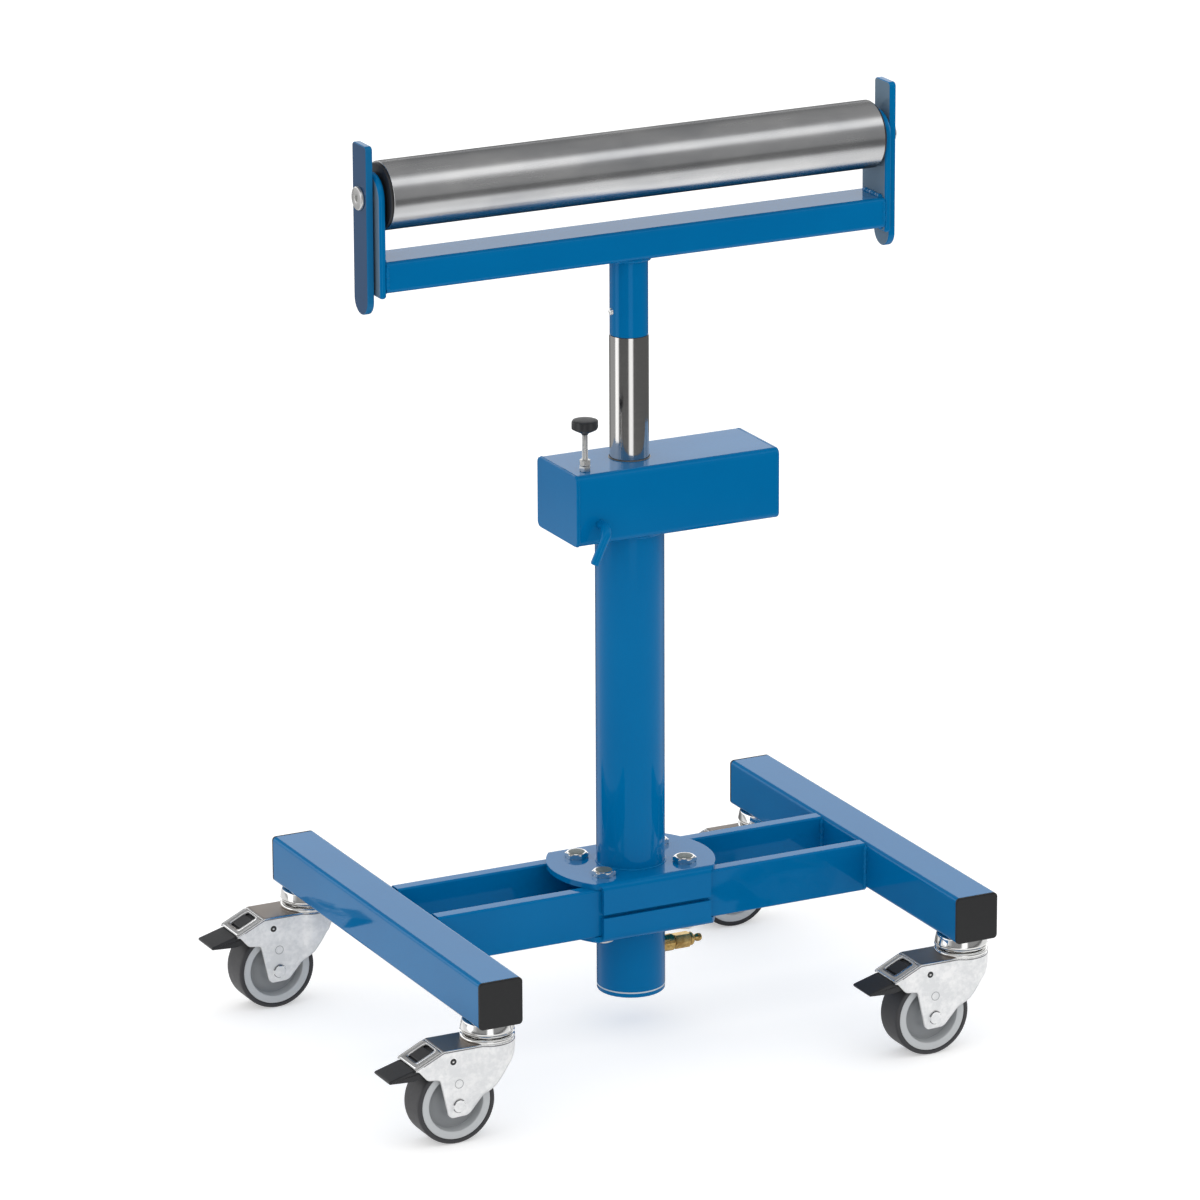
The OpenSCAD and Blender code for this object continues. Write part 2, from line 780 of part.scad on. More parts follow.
module caster_races() {
    lip = race_h / 6;
    pin_r = wheel_axle_d / 2;
    nut_h = pin_r * 1.3;
    color(zinc) for (x = [-1, 1], y = [-1, 1]) at_caster(x, y) rotate_extrude() polygon([
        [0, beam_z0 + beam_wall + nut_h], [pin_r, beam_z0 + beam_wall + nut_h], [pin_r, beam_z0],
        [race_d / 2 - 2 * lip, beam_z0], [race_d / 2 - lip / 2, beam_z0 - lip], [race_d / 2, beam_z0 - 3 * lip],
        [race_d / 2 - lip, beam_z0 - 5 * lip], [race_d / 2 - 2 * lip, crown_z1 + air], [pin_r, crown_z1 + air],
        [pin_r, crown_z0 - air], [pin_r + lip, crown_z0 - air], [pin_r + lip, crown_z0 - air - lip],
        [0, crown_z0 - air - lip]
    ]);
}

module caster_nuts() {
    nut_h = wheel_axle_d * 0.65;
    color(zinc) for (x = [-1, 1], y = [-1, 1]) at_caster(x, y) translate([0, 0, beam_z0 + beam_wall])
        difference() {
            hex(wheel_axle_d * 1.5, nut_h);
            translate([0, 0, -cut]) cylinder(nut_h + 2 * cut, d = wheel_axle_d);
        }
}

// Side view of the fork about the axle, legs and hood in one outline
function leg_points() = [for (s = leg_shares) s * wheel_r];
function rear_points() = let (a = leg_points()[len(leg_shares) - 1],
    b = [caster_trail + crown_r + cut, crown_z1 - wheel_r])
    concat([for (s = rear_shares) [a[0] + s[0] * (b[0] - a[0]), a[1] + s[1] * (b[1] - a[1])]], [b]);
function hood_points() = let (top = crown_z1 - wheel_r)
    [[hood_bend_share * wheel_r, top], [hood_end_share * wheel_r, top - hood_drop_share * wheel_r]];

module fork_side() {
    polygon(concat(leg_points(), rear_points(), hood_points()));
}

// Plan view of the fork, inset by the given amount
module fork_plan(inset) {
    circle(crown_r - inset);
    translate([-caster_trail + hood_end_share * wheel_r - cut, -fork_half + inset])
        square([caster_trail - hood_end_share * wheel_r + cut, 2 * (fork_half - inset)]);
}

module fork_shell() {
    slope = hood_points()[0] - hood_points()[1];
    slope_len = norm(slope);
    intersection() {
        at_axle() rotate([90, 0, 0]) linear_extrude(2 * crown_r, center = true) fork_side();
        difference() {
            linear_extrude(crown_z1) fork_plan(0);
            difference() {
                translate([0, 0, -cut]) linear_extrude(crown_z0 + cut) fork_plan(fork_t);
                at_axle() translate([hood_bend_share * wheel_r, 0, crown_z1 - wheel_r])
                    rotate([0, -atan2(slope[1], slope[0]), 0])
                        translate([-2 * slope_len, -crown_r, -fork_t]) cube([2 * slope_len, 2 * crown_r, slope_len]);
            }
        }
    }
}

module hood_window() {
    low = hood_points()[1];
    slope = hood_points()[0] - low;
    from = low + slope * window_shares[0];
    run = norm(slope) * (window_shares[1] - window_shares[0]);
    at_axle() translate([from[0], 0, from[1]]) rotate([0, -atan2(slope[1], slope[0]), 0])
        translate([0, -window_w / 2, -2 * fork_t]) cube([run, window_w, 3 * fork_t]);
}

module fork(x, y) {
    head_t = fork_t / 2;
    color(zinc) at_caster(x, y) {
        difference() {
            fork_shell();
            hood_window();
            translate([0, 0, crown_z0 - cut]) cylinder(fork_t + 2 * cut, d = wheel_axle_d + 2 * running);
            at_axle() translate([pedal_pivot_shares[0] * wheel_r, 0, pedal_pivot_shares[1] * wheel_r])
                rotate([90, 0, 0]) cylinder(2 * crown_r, d = pedal_pin_d + 2 * running, center = true);
        }
        at_axle() rotate([90, 0, 0]) {
            cylinder(2 * fork_half, d = wheel_axle_d, center = true);
            for (side = [-1, 1]) translate([0, 0, side * (fork_half + head_t / 2)])
                cylinder(head_t, d = wheel_axle_d + 2 * head_t, center = true);
        }
    }
}

module rim(x, y) {
    rim_r = wheel_r - tyre_t;
    bore_r = wheel_axle_d / 2 + running;
    hub_r = wheel_axle_d;
    seat_r = rim_r * 0.77;
    half = wheel_w / 2;
    face = half - tyre_t / 4;
    web = half * 0.3;
    hub_half = wheel_to_fork - air;
    side = [
        [bore_r, hub_half], [hub_r * 0.8, hub_half], [hub_r, face], [hub_r * 1.2, web],
        [seat_r * 0.85, web], [seat_r, face - tyre_t], [seat_r + tyre_t / 3, face], [rim_r, face]
    ];
    color(rim_grey) at_caster(x, y) at_axle() rotate([90, 0, 0]) rotate_extrude() polygon(concat(
        side, [for (n = [len(side) - 1 : -1 : 0]) [side[n][0], -side[n][1]]]
    ));
}

module tyre(x, y) {
    rim_r = wheel_r - tyre_t;
    half = wheel_w / 2;
    edge = tyre_t / 2;
    color(tread) at_caster(x, y) at_axle() rotate([90, 0, 0]) rotate_extrude($fn = 96) polygon([
        [rim_r, -half], [wheel_r - edge, -half], [wheel_r - edge / 3, -half + edge / 3], [wheel_r, -half + edge],
        [wheel_r, half - edge], [wheel_r - edge / 3, half - edge / 3], [wheel_r - edge, half], [rim_r, half]
    ]);
}

module pedal(x, y) {
    low = hood_points()[1];
    slope = hood_points()[0] - low;
    block_w = window_w - fork_t;
    block_share = [0.26, 0.74];
    color(black) at_caster(x, y) at_axle() {
        rotate([90, 0, 0]) linear_extrude(pedal_w, center = true) polygon([for (s = pedal_shares) s * wheel_r]);
        translate([low[0] + slope[0] * block_share[0], 0, low[1] + slope[1] * block_share[0]])
            rotate([0, -atan2(slope[1], slope[0]), 0]) translate([0, -block_w / 2, -2 * fork_t])
                cube([norm(slope) * (block_share[1] - block_share[0]), block_w, 2 * fork_t - air]);
        translate([pedal_pivot_shares[0] * wheel_r, 0, pedal_pivot_shares[1] * wheel_r]) rotate([90, 0, 0])
            cylinder(2 * fork_half, d = pedal_pin_d, center = true);
    }
}

module front_left_fork() fork(-1, -1);
module front_left_rim() rim(-1, -1);
module front_left_tyre() tyre(-1, -1);
module front_left_pedal() pedal(-1, -1);
module front_right_fork() fork(1, -1);
module front_right_rim() rim(1, -1);
module front_right_tyre() tyre(1, -1);
module front_right_pedal() pedal(1, -1);
module rear_left_fork() fork(-1, 1);
module rear_left_rim() rim(-1, 1);
module rear_left_tyre() tyre(-1, 1);
module rear_left_pedal() pedal(-1, 1);
module rear_right_fork() fork(1, 1);
module rear_right_rim() rim(1, 1);
module rear_right_tyre() tyre(1, 1);
module rear_right_pedal() pedal(1, 1);

left_beam();
right_beam();
beam_end_caps();
front_rail();
rear_rail();
hub_top_plate();
hub_bottom_plate();
hub_bolts();
hub_nuts();
column_tube();
column_foot();
air_adapter();
air_plug();
lock_box();
lock_box_ends();
tube_wiper();
guide_bush();
brake_pivot_pin();
brake_spring();
lock_nuts();
caster_races();
caster_nuts();
ram_tube();
ram_plug();
ram_piston();
piston_seal();
head_stem();
stem_screw();
crossbar();
left_lug();
right_lug();
roller_axle();
guide_spacers();
pivot_bolts();
left_guide_plate();
right_guide_plate();
roller_tube();
roller_end_caps();
roller_bearings();
brake_plate();
release_lever();
adjusting_stud();
star_knob();
front_left_fork();
front_left_rim();
front_left_tyre();
front_left_pedal();
front_right_fork();
front_right_rim();
front_right_tyre();
front_right_pedal();
rear_left_fork();
rear_left_rim();
rear_left_tyre();
rear_left_pedal();
rear_right_fork();
rear_right_rim();
rear_right_tyre();
rear_right_pedal();
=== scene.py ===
"""Roller stand in glossy blue paint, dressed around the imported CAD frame.

Shapes are worked out in millimetres about the column's axis, with -Y as the front and Z = 0 as the
floor. make() turns them into metres and puts them where the frame has the column.
"""

import json

import bmesh
import bpy
import numpy as np
from mathutils import Matrix, Vector

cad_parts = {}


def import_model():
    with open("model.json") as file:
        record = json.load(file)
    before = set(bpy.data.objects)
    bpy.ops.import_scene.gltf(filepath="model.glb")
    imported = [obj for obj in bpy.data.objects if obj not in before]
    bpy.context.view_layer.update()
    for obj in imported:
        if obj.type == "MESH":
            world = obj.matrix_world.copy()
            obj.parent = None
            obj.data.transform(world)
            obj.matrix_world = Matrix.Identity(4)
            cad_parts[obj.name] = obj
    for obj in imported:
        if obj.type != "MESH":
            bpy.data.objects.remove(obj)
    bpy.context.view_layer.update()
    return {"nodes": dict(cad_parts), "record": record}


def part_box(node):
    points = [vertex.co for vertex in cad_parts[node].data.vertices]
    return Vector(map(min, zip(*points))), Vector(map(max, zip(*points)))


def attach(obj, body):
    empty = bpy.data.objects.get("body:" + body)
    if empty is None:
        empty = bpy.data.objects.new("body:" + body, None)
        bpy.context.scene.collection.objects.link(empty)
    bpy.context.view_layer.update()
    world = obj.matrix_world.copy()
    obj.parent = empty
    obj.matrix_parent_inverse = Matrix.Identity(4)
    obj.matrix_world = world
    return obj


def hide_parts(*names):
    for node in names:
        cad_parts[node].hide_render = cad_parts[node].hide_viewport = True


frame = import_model()

MM = 0.001
TURN = 2 * np.pi
HEX_STEPS = 72


def span(node):
    """Lowest and highest corner of a CAD node in millimetres about the column's axis."""
    low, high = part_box(node)
    return np.array(low) / MM - COLUMN, np.array(high) / MM - COLUMN


COLUMN = np.zeros(3)
COLUMN = np.array([sum(span("column_tube"))[0] / 2, 0, 0])


# ---------------------------------------------------------------- outlines and shapes


def unit(v):
    """Vectors scaled to length one along their last axis."""
    return v / np.maximum(np.linalg.norm(v, axis=-1, keepdims=True), 1e-9)


def rounded(corners, radii, steps, closed=True):
    """Outline whose corners are arcs that touch both sides: each arc is the slerp of its two end spokes."""
    p = np.asarray(corners, float)
    r = np.broadcast_to(np.asarray(radii, float), len(p))
    back, ahead = unit(np.roll(p, 1, 0) - p), unit(np.roll(p, -1, 0) - p)
    half = np.arccos(np.clip((back * ahead).sum(1), -0.99999, 0.99999)) / 2
    centre = p + unit(back + ahead) * (r / np.sin(half))[:, None]
    first = p + back * (r / np.tan(half))[:, None] - centre
    last = p + ahead * (r / np.tan(half))[:, None] - centre
    t, sweep = np.linspace(0, 1, steps), (np.pi - 2 * half)[:, None]
    spoke = (np.sin((1 - t) * sweep) / np.sin(sweep))[..., None] * first[:, None]
    spoke = spoke + (np.sin(t * sweep) / np.sin(sweep))[..., None] * last[:, None]
    arcs = centre[:, None] + spoke
    if closed:
        return arcs.reshape(-1, 2)
    return np.concatenate([p[:1], arcs[1:-1].reshape(-1, 2), p[-1:]])


def rectangle(low, high, r, steps=6):
    """Rounded rectangle between two corners, counter-clockwise."""
    (a, b), (c, d) = low, high
    return rounded([(a, b), (c, b), (c, d), (a, d)], r, steps)


def oriented(outline):
    """The same outline, counter-clockwise: the shoelace sum gives its sense."""
    x, y = outline.T
    return outline if (x * np.roll(y, -1) - y * np.roll(x, -1)).sum() > 0 else outline[::-1]


def inset(outline, depth):
    """Counter-clockwise outline moved inwards along the mean normal of its two neighbouring sides."""
    along = unit(np.roll(outline, -1, 0) - outline) + unit(outline - np.roll(outline, 1, 0))
    along = unit(along)
    return outline + np.stack([-along[:, 1], along[:, 0]], 1) * depth


def lay(points, axis):
    """Turns a shape drawn along Z so that it lies along X or Y, by a cyclic swap of coordinates."""
    return {"z": points, "x": points[..., [2, 0, 1]], "y": points[..., [1, 2, 0]]}[axis]


def patch(points, loop_rows=False, loop_columns=False, keep=None, flip=False):
    """Grid of points as quads between neighbouring rows and columns."""
    ids = np.arange(points.shape[0] * points.shape[1]).reshape(points.shape[:2])
    if loop_rows:
        ids = np.concatenate([ids, ids[:1]], 0)
    if loop_columns:
        ids = np.concatenate([ids, ids[:, :1]], 1)
    quads = np.stack([ids[:-1, :-1], ids[:-1, 1:], ids[1:, 1:], ids[1:, :-1]], -1)
    quads = quads[keep] if keep is not None else quads.reshape(-1, 4)
    return points.reshape(-1, 3), (quads[:, ::-1] if flip else quads).tolist()


def stack(outlines, heights):
    """Outlines (rows, points, 2) lifted to their heights."""
    outlines = np.asarray(outlines)
    z = np.broadcast_to(np.asarray(heights, float)[:, None, None], outlines.shape[:2] + (1,))
    return np.concatenate([outlines, z], -1)


def capped(rows, axis="z"):
    """Rows of one outline as a closed solid: quads between rows and one flat face at each end."""
    verts, faces = patch(lay(rows, axis), loop_columns=True)
    n, last = rows.shape[1], (rows.shape[0] - 1) * rows.shape[1]
    return verts, faces + [list(range(n))[::-1], list(range(last, last + n))]


def prism(outline, low, high, edge, axis="z", steps=4):
    """Outline carried from low to high, its end edges rounded by quarter circles of one or two radii."""
    a = np.linspace(0, np.pi / 2, steps)
    first, last = np.broadcast_to(edge, 2)
    depths = [*(first * (1 - np.sin(a))), *(last * (1 - np.sin(a[::-1])))]
    heights = [*(low + first * (1 - np.cos(a))), *(high - last * (1 - np.cos(a[::-1])))]
    return capped(stack([inset(outline, d) for d in depths], heights), axis)


def pipe(outer, inner, low, high, edge, axis):
    """Hollow bar: outer wall, end face, inner wall and end face as one closed loop of rows."""
    rows = [inset(outer, edge), outer, outer, inset(outer, edge), inner, inner]
    heights = [low, low + edge, high - edge, high, high, low]
    return patch(lay(stack(rows, heights), axis), loop_rows=True, loop_columns=True)


def circle(r, steps=96, centre=(0, 0)):
    """Circle of radius r."""
    a = np.arange(steps) * TURN / steps
    return np.stack([np.cos(a), np.sin(a)], 1) * r + centre


def lathe(profile, axis="z", steps=96, loop=False):
    """Profile of (radius, height) turned once about the axis; a loop is a closed section."""
    r, z = np.asarray(profile, float).T
    a = np.arange(steps) * TURN / steps
    points = np.stack([r[:, None] * np.cos(a), r[:, None] * np.sin(a), z[:, None] + 0 * a], -1)
    return patch(lay(points, axis), loop_rows=loop, loop_columns=True)


def drum(r, low, high, axis="z", steps=96):
    """Solid cylinder."""
    return lathe([(0, low), (r, low), (r, high), (0, high)], axis, steps)


def sleeve(inner, r, low, high, axis="z"):
    """Hollow cylinder."""
    return lathe([(inner, low), (r, low), (r, high), (inner, high)], axis, loop=True)


def hexagon(across, turn=0.0):
    """Radius of a hexagon at each of 72 angles, given its width across flats and how far it is turned."""
    a = np.arange(HEX_STEPS) * TURN / HEX_STEPS + turn
    return across / 2 / np.cos((a + TURN / 12) % (TURN / 6) - TURN / 12)


def turned(radii, heights, axis="z"):
    """Solid whose radius is given for every height and angle; its ends close on the axis."""
    radii = np.asarray(radii, float)
    a = np.arange(radii.shape[1]) * TURN / radii.shape[1]
    radii = np.concatenate([radii[:1] * 0, radii, radii[-1:] * 0])
    z = np.array([heights[0], *heights, heights[-1]], float)[:, None] + 0 * a
    return patch(lay(np.stack([radii * np.cos(a), radii * np.sin(a), z], -1), axis), loop_columns=True)


def hex_block(across, low, high, axis="z", both=True, turn=0.0):
    """Hexagon whose corners are cut by a 30 degree cone at the top, and at the foot if both."""
    lift = np.array([0, 0.03, 0.06, 0.1]) * across
    limit = across / 2 * 0.95 + lift * 1.73
    free = np.full(2, across)
    limits = [*(limit if both else free[:1]), *free, *limit[::-1]]
    heights = [*(low + lift if both else [low]), low + lift[-1], high - lift[-1], *(high - lift[::-1])]
    return turned(np.minimum(hexagon(across, turn=turn), np.array(limits)[:, None]), heights, axis)


def rod(path, radius, normal, steps, loop=False):
    """Round bar along a flat path: each ring is spanned by the path's plane normal and its in-plane normal."""
    path = np.asarray(path, float)
    along = np.roll(path, -1, 0) - np.roll(path, 1, 0) if loop else np.gradient(path, axis=0)
    side = np.broadcast_to(unit(np.asarray(normal, float)), path.shape)
    up = np.cross(unit(along), side)
    a = np.arange(steps) * TURN / steps
    r = np.broadcast_to(np.asarray(radius, float), len(path))[:, None, None]
    rings = path[:, None] + r * (np.cos(a)[:, None] * side[:, None] + np.sin(a)[:, None] * up[:, None])
    if loop:
        return patch(rings, loop_rows=True, loop_columns=True)
    ends = [np.repeat(path[k][None, None], steps, 1) for k in (0, -1)]
    return patch(np.concatenate([ends[0], rings, ends[1]]), loop_columns=True)


def shifted(shape, by):
    """A shape moved by a vector."""
    return shape[0] + np.asarray(by, float), shape[1]


def bead(path, radius, normal, seed, loop=False, pitch=3.0):
    """Weld bead: a rod whose radius ripples once a pitch, with a slow uneven swell."""
    path = np.asarray(path, float)
    s = np.concatenate([[0], np.cumsum(np.linalg.norm(np.diff(path, axis=0), axis=1))])
    swell = np.sin(s / s[-1] * TURN * 3 + seed) * 0.1 + np.sin(s / s[-1] * TURN * 7 + 2.4 * seed) * 0.08
    r = radius * (1 + swell + 0.1 * np.abs(np.sin(np.pi * s / pitch)))
    if not loop:
        r = r * np.clip(np.minimum(s, s[-1] - s) / radius, 0.15, 1) ** 0.5
    return rod(path, r, normal, steps=12, loop=loop)


def line(a, b, spacing=0.8):
    """Evenly spaced points from a to b."""
    a, b = np.asarray(a, float), np.asarray(b, float)
    t = np.linspace(0, 1, max(3, int(np.linalg.norm(b - a) / spacing)))
    return a + (b - a) * t[:, None]


def hoop(r, z):
    """Horizontal circle of points, closed by rod()."""
    return np.insert(circle(r, 160), 2, z, 1)


def make(name, body, slot, material, *shapes, replaces=(), sheet=None, at=(0, 0, 0), bevel=None):
    """One piece from its shapes. A sheet is open and gets its wall from Solidify, inwards."""
    bm = bmesh.new()
    for verts, faces in shapes:
        part = bpy.data.meshes.new(name)
        part.from_pydata(((verts + COLUMN + at) * MM).tolist(), [], faces)
        before = len(bm.verts)
        bm.from_mesh(part)
        bm.verts.ensure_lookup_table()
        bmesh.ops.remove_doubles(bm, verts=bm.verts[before:], dist=2e-6)
        bm.verts.ensure_lookup_table()
        bpy.data.meshes.remove(part)
    bmesh.ops.dissolve_degenerate(bm, dist=1e-7, edges=bm.edges)
    if not sheet:
        bmesh.ops.recalc_face_normals(bm, faces=bm.faces)
    mesh = bpy.data.meshes.new(name)
    bm.to_mesh(mesh)
    bm.free()
    mesh.shade_smooth()
    mesh.set_sharp_from_angle(angle=np.radians(38))
    mesh.materials.append(material)
    piece = bpy.data.objects.new(name, mesh)
    bpy.context.scene.collection.objects.link(piece)
    if sheet:
        wall = piece.modifiers.new("wall", "SOLIDIFY")
        wall.thickness, wall.offset, wall.use_even_offset = sheet * MM, -1, True
    if bevel:
        soft = piece.modifiers.new("edges", "BEVEL")
        soft.width, soft.segments, soft.limit_method = bevel * MM, 2, "ANGLE"
        soft.angle_limit, soft.harden_normals = np.radians(50), False
    flat = piece.modifiers.new("flat faces", "WEIGHTED_NORMAL")
    flat.keep_sharp, flat.weight = True, 60
    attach(piece, body)
    if replaces:
        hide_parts(*replaces)


def painted(name, body, *shapes, paint=None, **more):
    """One piece in blue paint."""
    make(name, body, "blue_paint", paint or PAINT, *shapes, **more)


# ---------------------------------------------------------------- materials


class Value:
    """A shader socket that takes part in sums: each operator adds one Math node."""

    def __init__(self, tree, socket):
        self.tree, self.socket = tree, socket

    def math(self, operation, *others):
        """This value and others, each a value or a number, put through one Math node."""
        node = self.tree.nodes.new("ShaderNodeMath")
        node.operation = operation
        for port, value in zip(node.inputs, (self, *others)):
            if isinstance(value, Value):
                self.tree.links.new(value.socket, port)
            else:
                port.default_value = value
        return Value(self.tree, node.outputs[0])

    def __add__(self, other):
        return self.math("ADD", other)

    def __sub__(self, other):
        return self.math("SUBTRACT", other)

    def __mul__(self, other):
        return self.math("MULTIPLY", other)

    def __truediv__(self, other):
        return self.math("DIVIDE", other)

    def __pow__(self, other):
        return self.math("POWER", other)

    def __rsub__(self, other):
        return self.math("MULTIPLY", -1.0).math("ADD", other)

    __radd__, __rmul__ = __add__, __mul__

    def ramp(self, low, high):
        """0 below low, 1 above high."""
        node = self.math("SUBTRACT", low) / (high - low)
        return node.math("MINIMUM", 1.0).math("MAXIMUM", 0.0)


class Nodes:
    """A node tree whose methods add nodes and hand back their sockets as values."""

    def __init__(self, tree):
        self.tree = tree

    def node(self, kind, settings=None, inputs=None, output=0):
        """Any node: its settings first, then the values or links of its sockets."""
        node = self.tree.nodes.new(kind)
        for key, value in (settings or {}).items():
            setattr(node, key, value)
        for key, value in (inputs or {}).items():
            if isinstance(value, Value):
                self.tree.links.new(value.socket, node.inputs[key])
            else:
                node.inputs[key].default_value = value
        return Value(self.tree, node.outputs[output]) if node.outputs else node

    def axes(self, vector):
        """The three components of a vector."""
        split = self.node("ShaderNodeSeparateXYZ", {}, {0: vector})
        return [Value(self.tree, port) for port in split.socket.node.outputs]


class Finish(Nodes):
    """A material with one Principled shader. Its methods add the nodes that its maths uses."""

    def __init__(self, name, colour, roughness, metallic=0.0, ior=1.5):
        self.material = bpy.data.materials.new(name)
        self.material.use_nodes = True
        super().__init__(self.material.node_tree)
        self.shader = self.tree.nodes["Principled BSDF"]
        for key, value in (("Base Color", (*colour, 1)), ("Roughness", roughness), ("Metallic", metallic),
                           ("IOR", ior)):
            self.shader.inputs[key].default_value = value
        self.material.diffuse_color = (*colour, 1)
        self.place = self.node("ShaderNodeTexCoord", output="Object")

    def noise(self, scale, detail, stretch=(1, 1, 1)):
        """Noise on object coordinates; a stretch above one packs it along that axis."""
        place = self.node("ShaderNodeVectorMath", {"operation": "MULTIPLY"}, {0: self.place, 1: stretch})
        return self.node("ShaderNodeTexNoise", {}, {"Vector": place, "Scale": scale, "Detail": detail})

    def mix(self, factor, one, two):
        """Colour mixed from two colours, each a tuple or a link."""
        colours = [(*c, 1) if isinstance(c, tuple) else c for c in (one, two)]
        return self.node("ShaderNodeMix", {"data_type": "RGBA"}, {0: factor, 6: colours[0], 7: colours[1]}, 2)

    def feed(self, key, value):
        """Links a value to a socket of the Principled shader."""
        self.tree.links.new(value.socket, self.shader.inputs[key])

    def bump(self, height, distance, strength):
        """Bump of a height between 0 and 1, its full depth in millimetres."""
        self.feed("Normal", self.node("ShaderNodeBump", {}, {
            "Height": height, "Distance": distance * MM, "Strength": strength}))


def linear(*srgb):
    """Linear colour from 0..255 screen values."""
    c = np.array(srgb) / 255
    return tuple(float(v) for v in np.where(c <= 0.04045, c / 12.92, ((c + 0.055) / 1.055) ** 2.4))


def paint(name, dark, light, side=None):
    """Gloss enamel: a slight drift between two tones, a shallow orange peel and a blue cast in what it mirrors.

    With side, faces that look along -X take that tone instead: a painted side tone for the light that falls on that
    side.
    """
    f = Finish(name, dark, roughness=0.07, ior=1.38)
    f.shader.inputs["Specular Tint"].default_value = (0.25, 0.6, 1, 1)
    drift = f.noise(9, 3)
    tone = f.mix(drift.ramp(0.3, 0.7), dark, light)
    if side:
        # Painted light: faces that look along -X take the side tone, for the light that falls on that side.
        painted_side_facing = f.axes(f.node("ShaderNodeNewGeometry", output="Normal"))[0]
        tone = f.mix(painted_side_facing.ramp(-0.85, -0.98), tone, side)
    f.feed("Base Color", tone)
    f.feed("Roughness", f.noise(30, 3) * 0.04 + 0.04)
    f.bump(f.noise(170, 1.5), 0.012, 0.4)
    return f.material


def zinc():
    """Bright zinc plate: pale metal with faint cloudy patches."""
    f = Finish("zinc plate", (0.78, 0.78, 0.77), roughness=0.28, metallic=1.0)
    cloud = f.noise(60, 4)
    f.feed("Base Color", f.mix(cloud.ramp(0.35, 0.7), (0.72, 0.72, 0.71), (0.86, 0.86, 0.85)))
    f.feed("Roughness", cloud * 0.2 + 0.2)
    f.bump(f.noise(420, 2), 0.015, 0.4)
    return f.material


def fork_zinc_painted_top_shade():
    """Zinc sheet: pale and dull on its sides, a smoother mirror on its folds and on faces that look up, which are
    painted dark as shade.
    """
    f = Finish("dull zinc sheet with painted top shade", (0.9, 0.9, 0.9), roughness=0.3, metallic=0.6)
    cloud, fine = f.noise(45, 4), f.noise(260, 3)
    pale = f.mix((cloud * 0.6 + fine * 0.4).ramp(0.42, 0.62), (0.8, 0.81, 0.82), (0.98, 0.98, 0.98))
    up = f.axes(f.node("ShaderNodeNewGeometry", output="Normal"))[2]
    # Faces that look up take a dark brown-grey: painted shade for the beam's shadow over the hood, which also darkens
    # what they mirror.
    f.feed("Base Color", f.mix(up.ramp(0.93, 0.99), pale, (0.33, 0.29, 0.26)))
    f.feed("Metallic", 0.25 + up.ramp(0.1, 0.4) * 0.75)
    f.feed("Roughness", 0.4 - up.ramp(0.05, 0.3) * 0.25 + up.ramp(0.95, 0.99) * 0.2 + cloud * 0.08)
    f.bump(fine, 0.02, 0.4)
    return f.material


def bare_metal(name, colour, grain, smooth, spread):
    """Metal of one colour whose gloss drifts a little."""
    f = Finish(name, colour, roughness=smooth + spread / 2, metallic=1.0)
    f.feed("Roughness", f.noise(grain, 3) * spread + smooth)
    return f.material


def galvanised():
    """Rolled galvanised tube: fine streaks along X and soft cloudy patches."""
    f = Finish("galvanised tube", (0.7, 0.7, 0.71), roughness=0.25, metallic=1.0)
    f.shader.inputs["Specular Tint"].default_value = (0.12, 0.12, 0.12, 1)
    streak = f.noise(70, 4, (0.12, 3, 3))
    patchy = f.noise(22, 3, (0.5, 1, 1))
    f.feed("Base Color", f.mix(patchy.ramp(0.3, 0.7), (0.6, 0.61, 0.63), (0.84, 0.84, 0.84)))
    f.feed("Roughness", streak * 0.22 + patchy * 0.1 + 0.08)
    f.bump(streak, 0.02, 0.5)
    return f.material


def polished():
    """Ground and polished tube: fine rings round it."""
    f = Finish("polished tube", (0.62, 0.61, 0.6), roughness=0.16, metallic=1.0)
    rings = f.noise(500, 3, (0.02, 0.02, 2.5))
    f.feed("Roughness", rings * 0.08 + 0.08)
    f.bump(rings, 0.004, 0.4)
    return f.material


def brass():
    """Turned brass, slightly dull."""
    f = Finish("turned brass", (0.72, 0.55, 0.3), roughness=0.3, metallic=1.0)
    tone = f.noise(120, 3)
    f.feed("Base Color", f.mix(tone.ramp(0.35, 0.65), (0.4, 0.25, 0.08), (0.86, 0.62, 0.25)))
    f.feed("Roughness", tone * 0.2 + 0.1)
    return f.material


def moulded(name, colour, roughness, grain=380, depth=0.03):
    """Moulded plastic or rubber with a fine grain."""
    f = Finish(name, colour, roughness=roughness)
    skin = f.noise(grain, 3)
    f.feed("Roughness", skin * 0.15 + (roughness - 0.07))
    f.bump(skin, depth, 0.5)
    return f.material


PAINT = paint("gloss blue paint", linear(0, 103, 160), linear(0, 108, 165))
# The lugs' -X faces are painted grey: a painted reflection of the pale surroundings and the roller.
LUG_PAINT_PAINTED_SIDE_REFLECTION = paint("lug paint with painted side reflection", linear(0, 103, 160), linear(0, 108, 165), linear(103, 125, 143))
# The left guide plate's -X faces are painted darker: painted shade for the weak light on that side.
PLATE_PAINT_PAINTED_SIDE_SHADE = paint("guide plate paint with painted side shade", linear(20, 99, 148), linear(24, 104, 153), linear(44, 73, 107))
ZINC, ROLLER, POLISHED = zinc(), galvanised(), polished()
FORK_PAINTED_TOP_SHADE, BRASS = fork_zinc_painted_top_shade(), brass()
CHROME = bare_metal("bright plate", (0.86, 0.86, 0.85), 90, 0.05, 0.08)
STEEL = bare_metal("machined steel", (0.55, 0.55, 0.56), 80, 0.25, 0.2)
BLACK = moulded("black plastic", linear(34, 35, 38), 0.42)
CAP = moulded("black end cap", linear(20, 21, 23), 0.5)
# Dark grey for the line under the fork's fold and the arcs round the axle heads: partly painted shade.
DARK_LINE_AND_PAINTED_SHADE = moulded("dark line and painted shade", linear(96, 98, 102), 0.4)
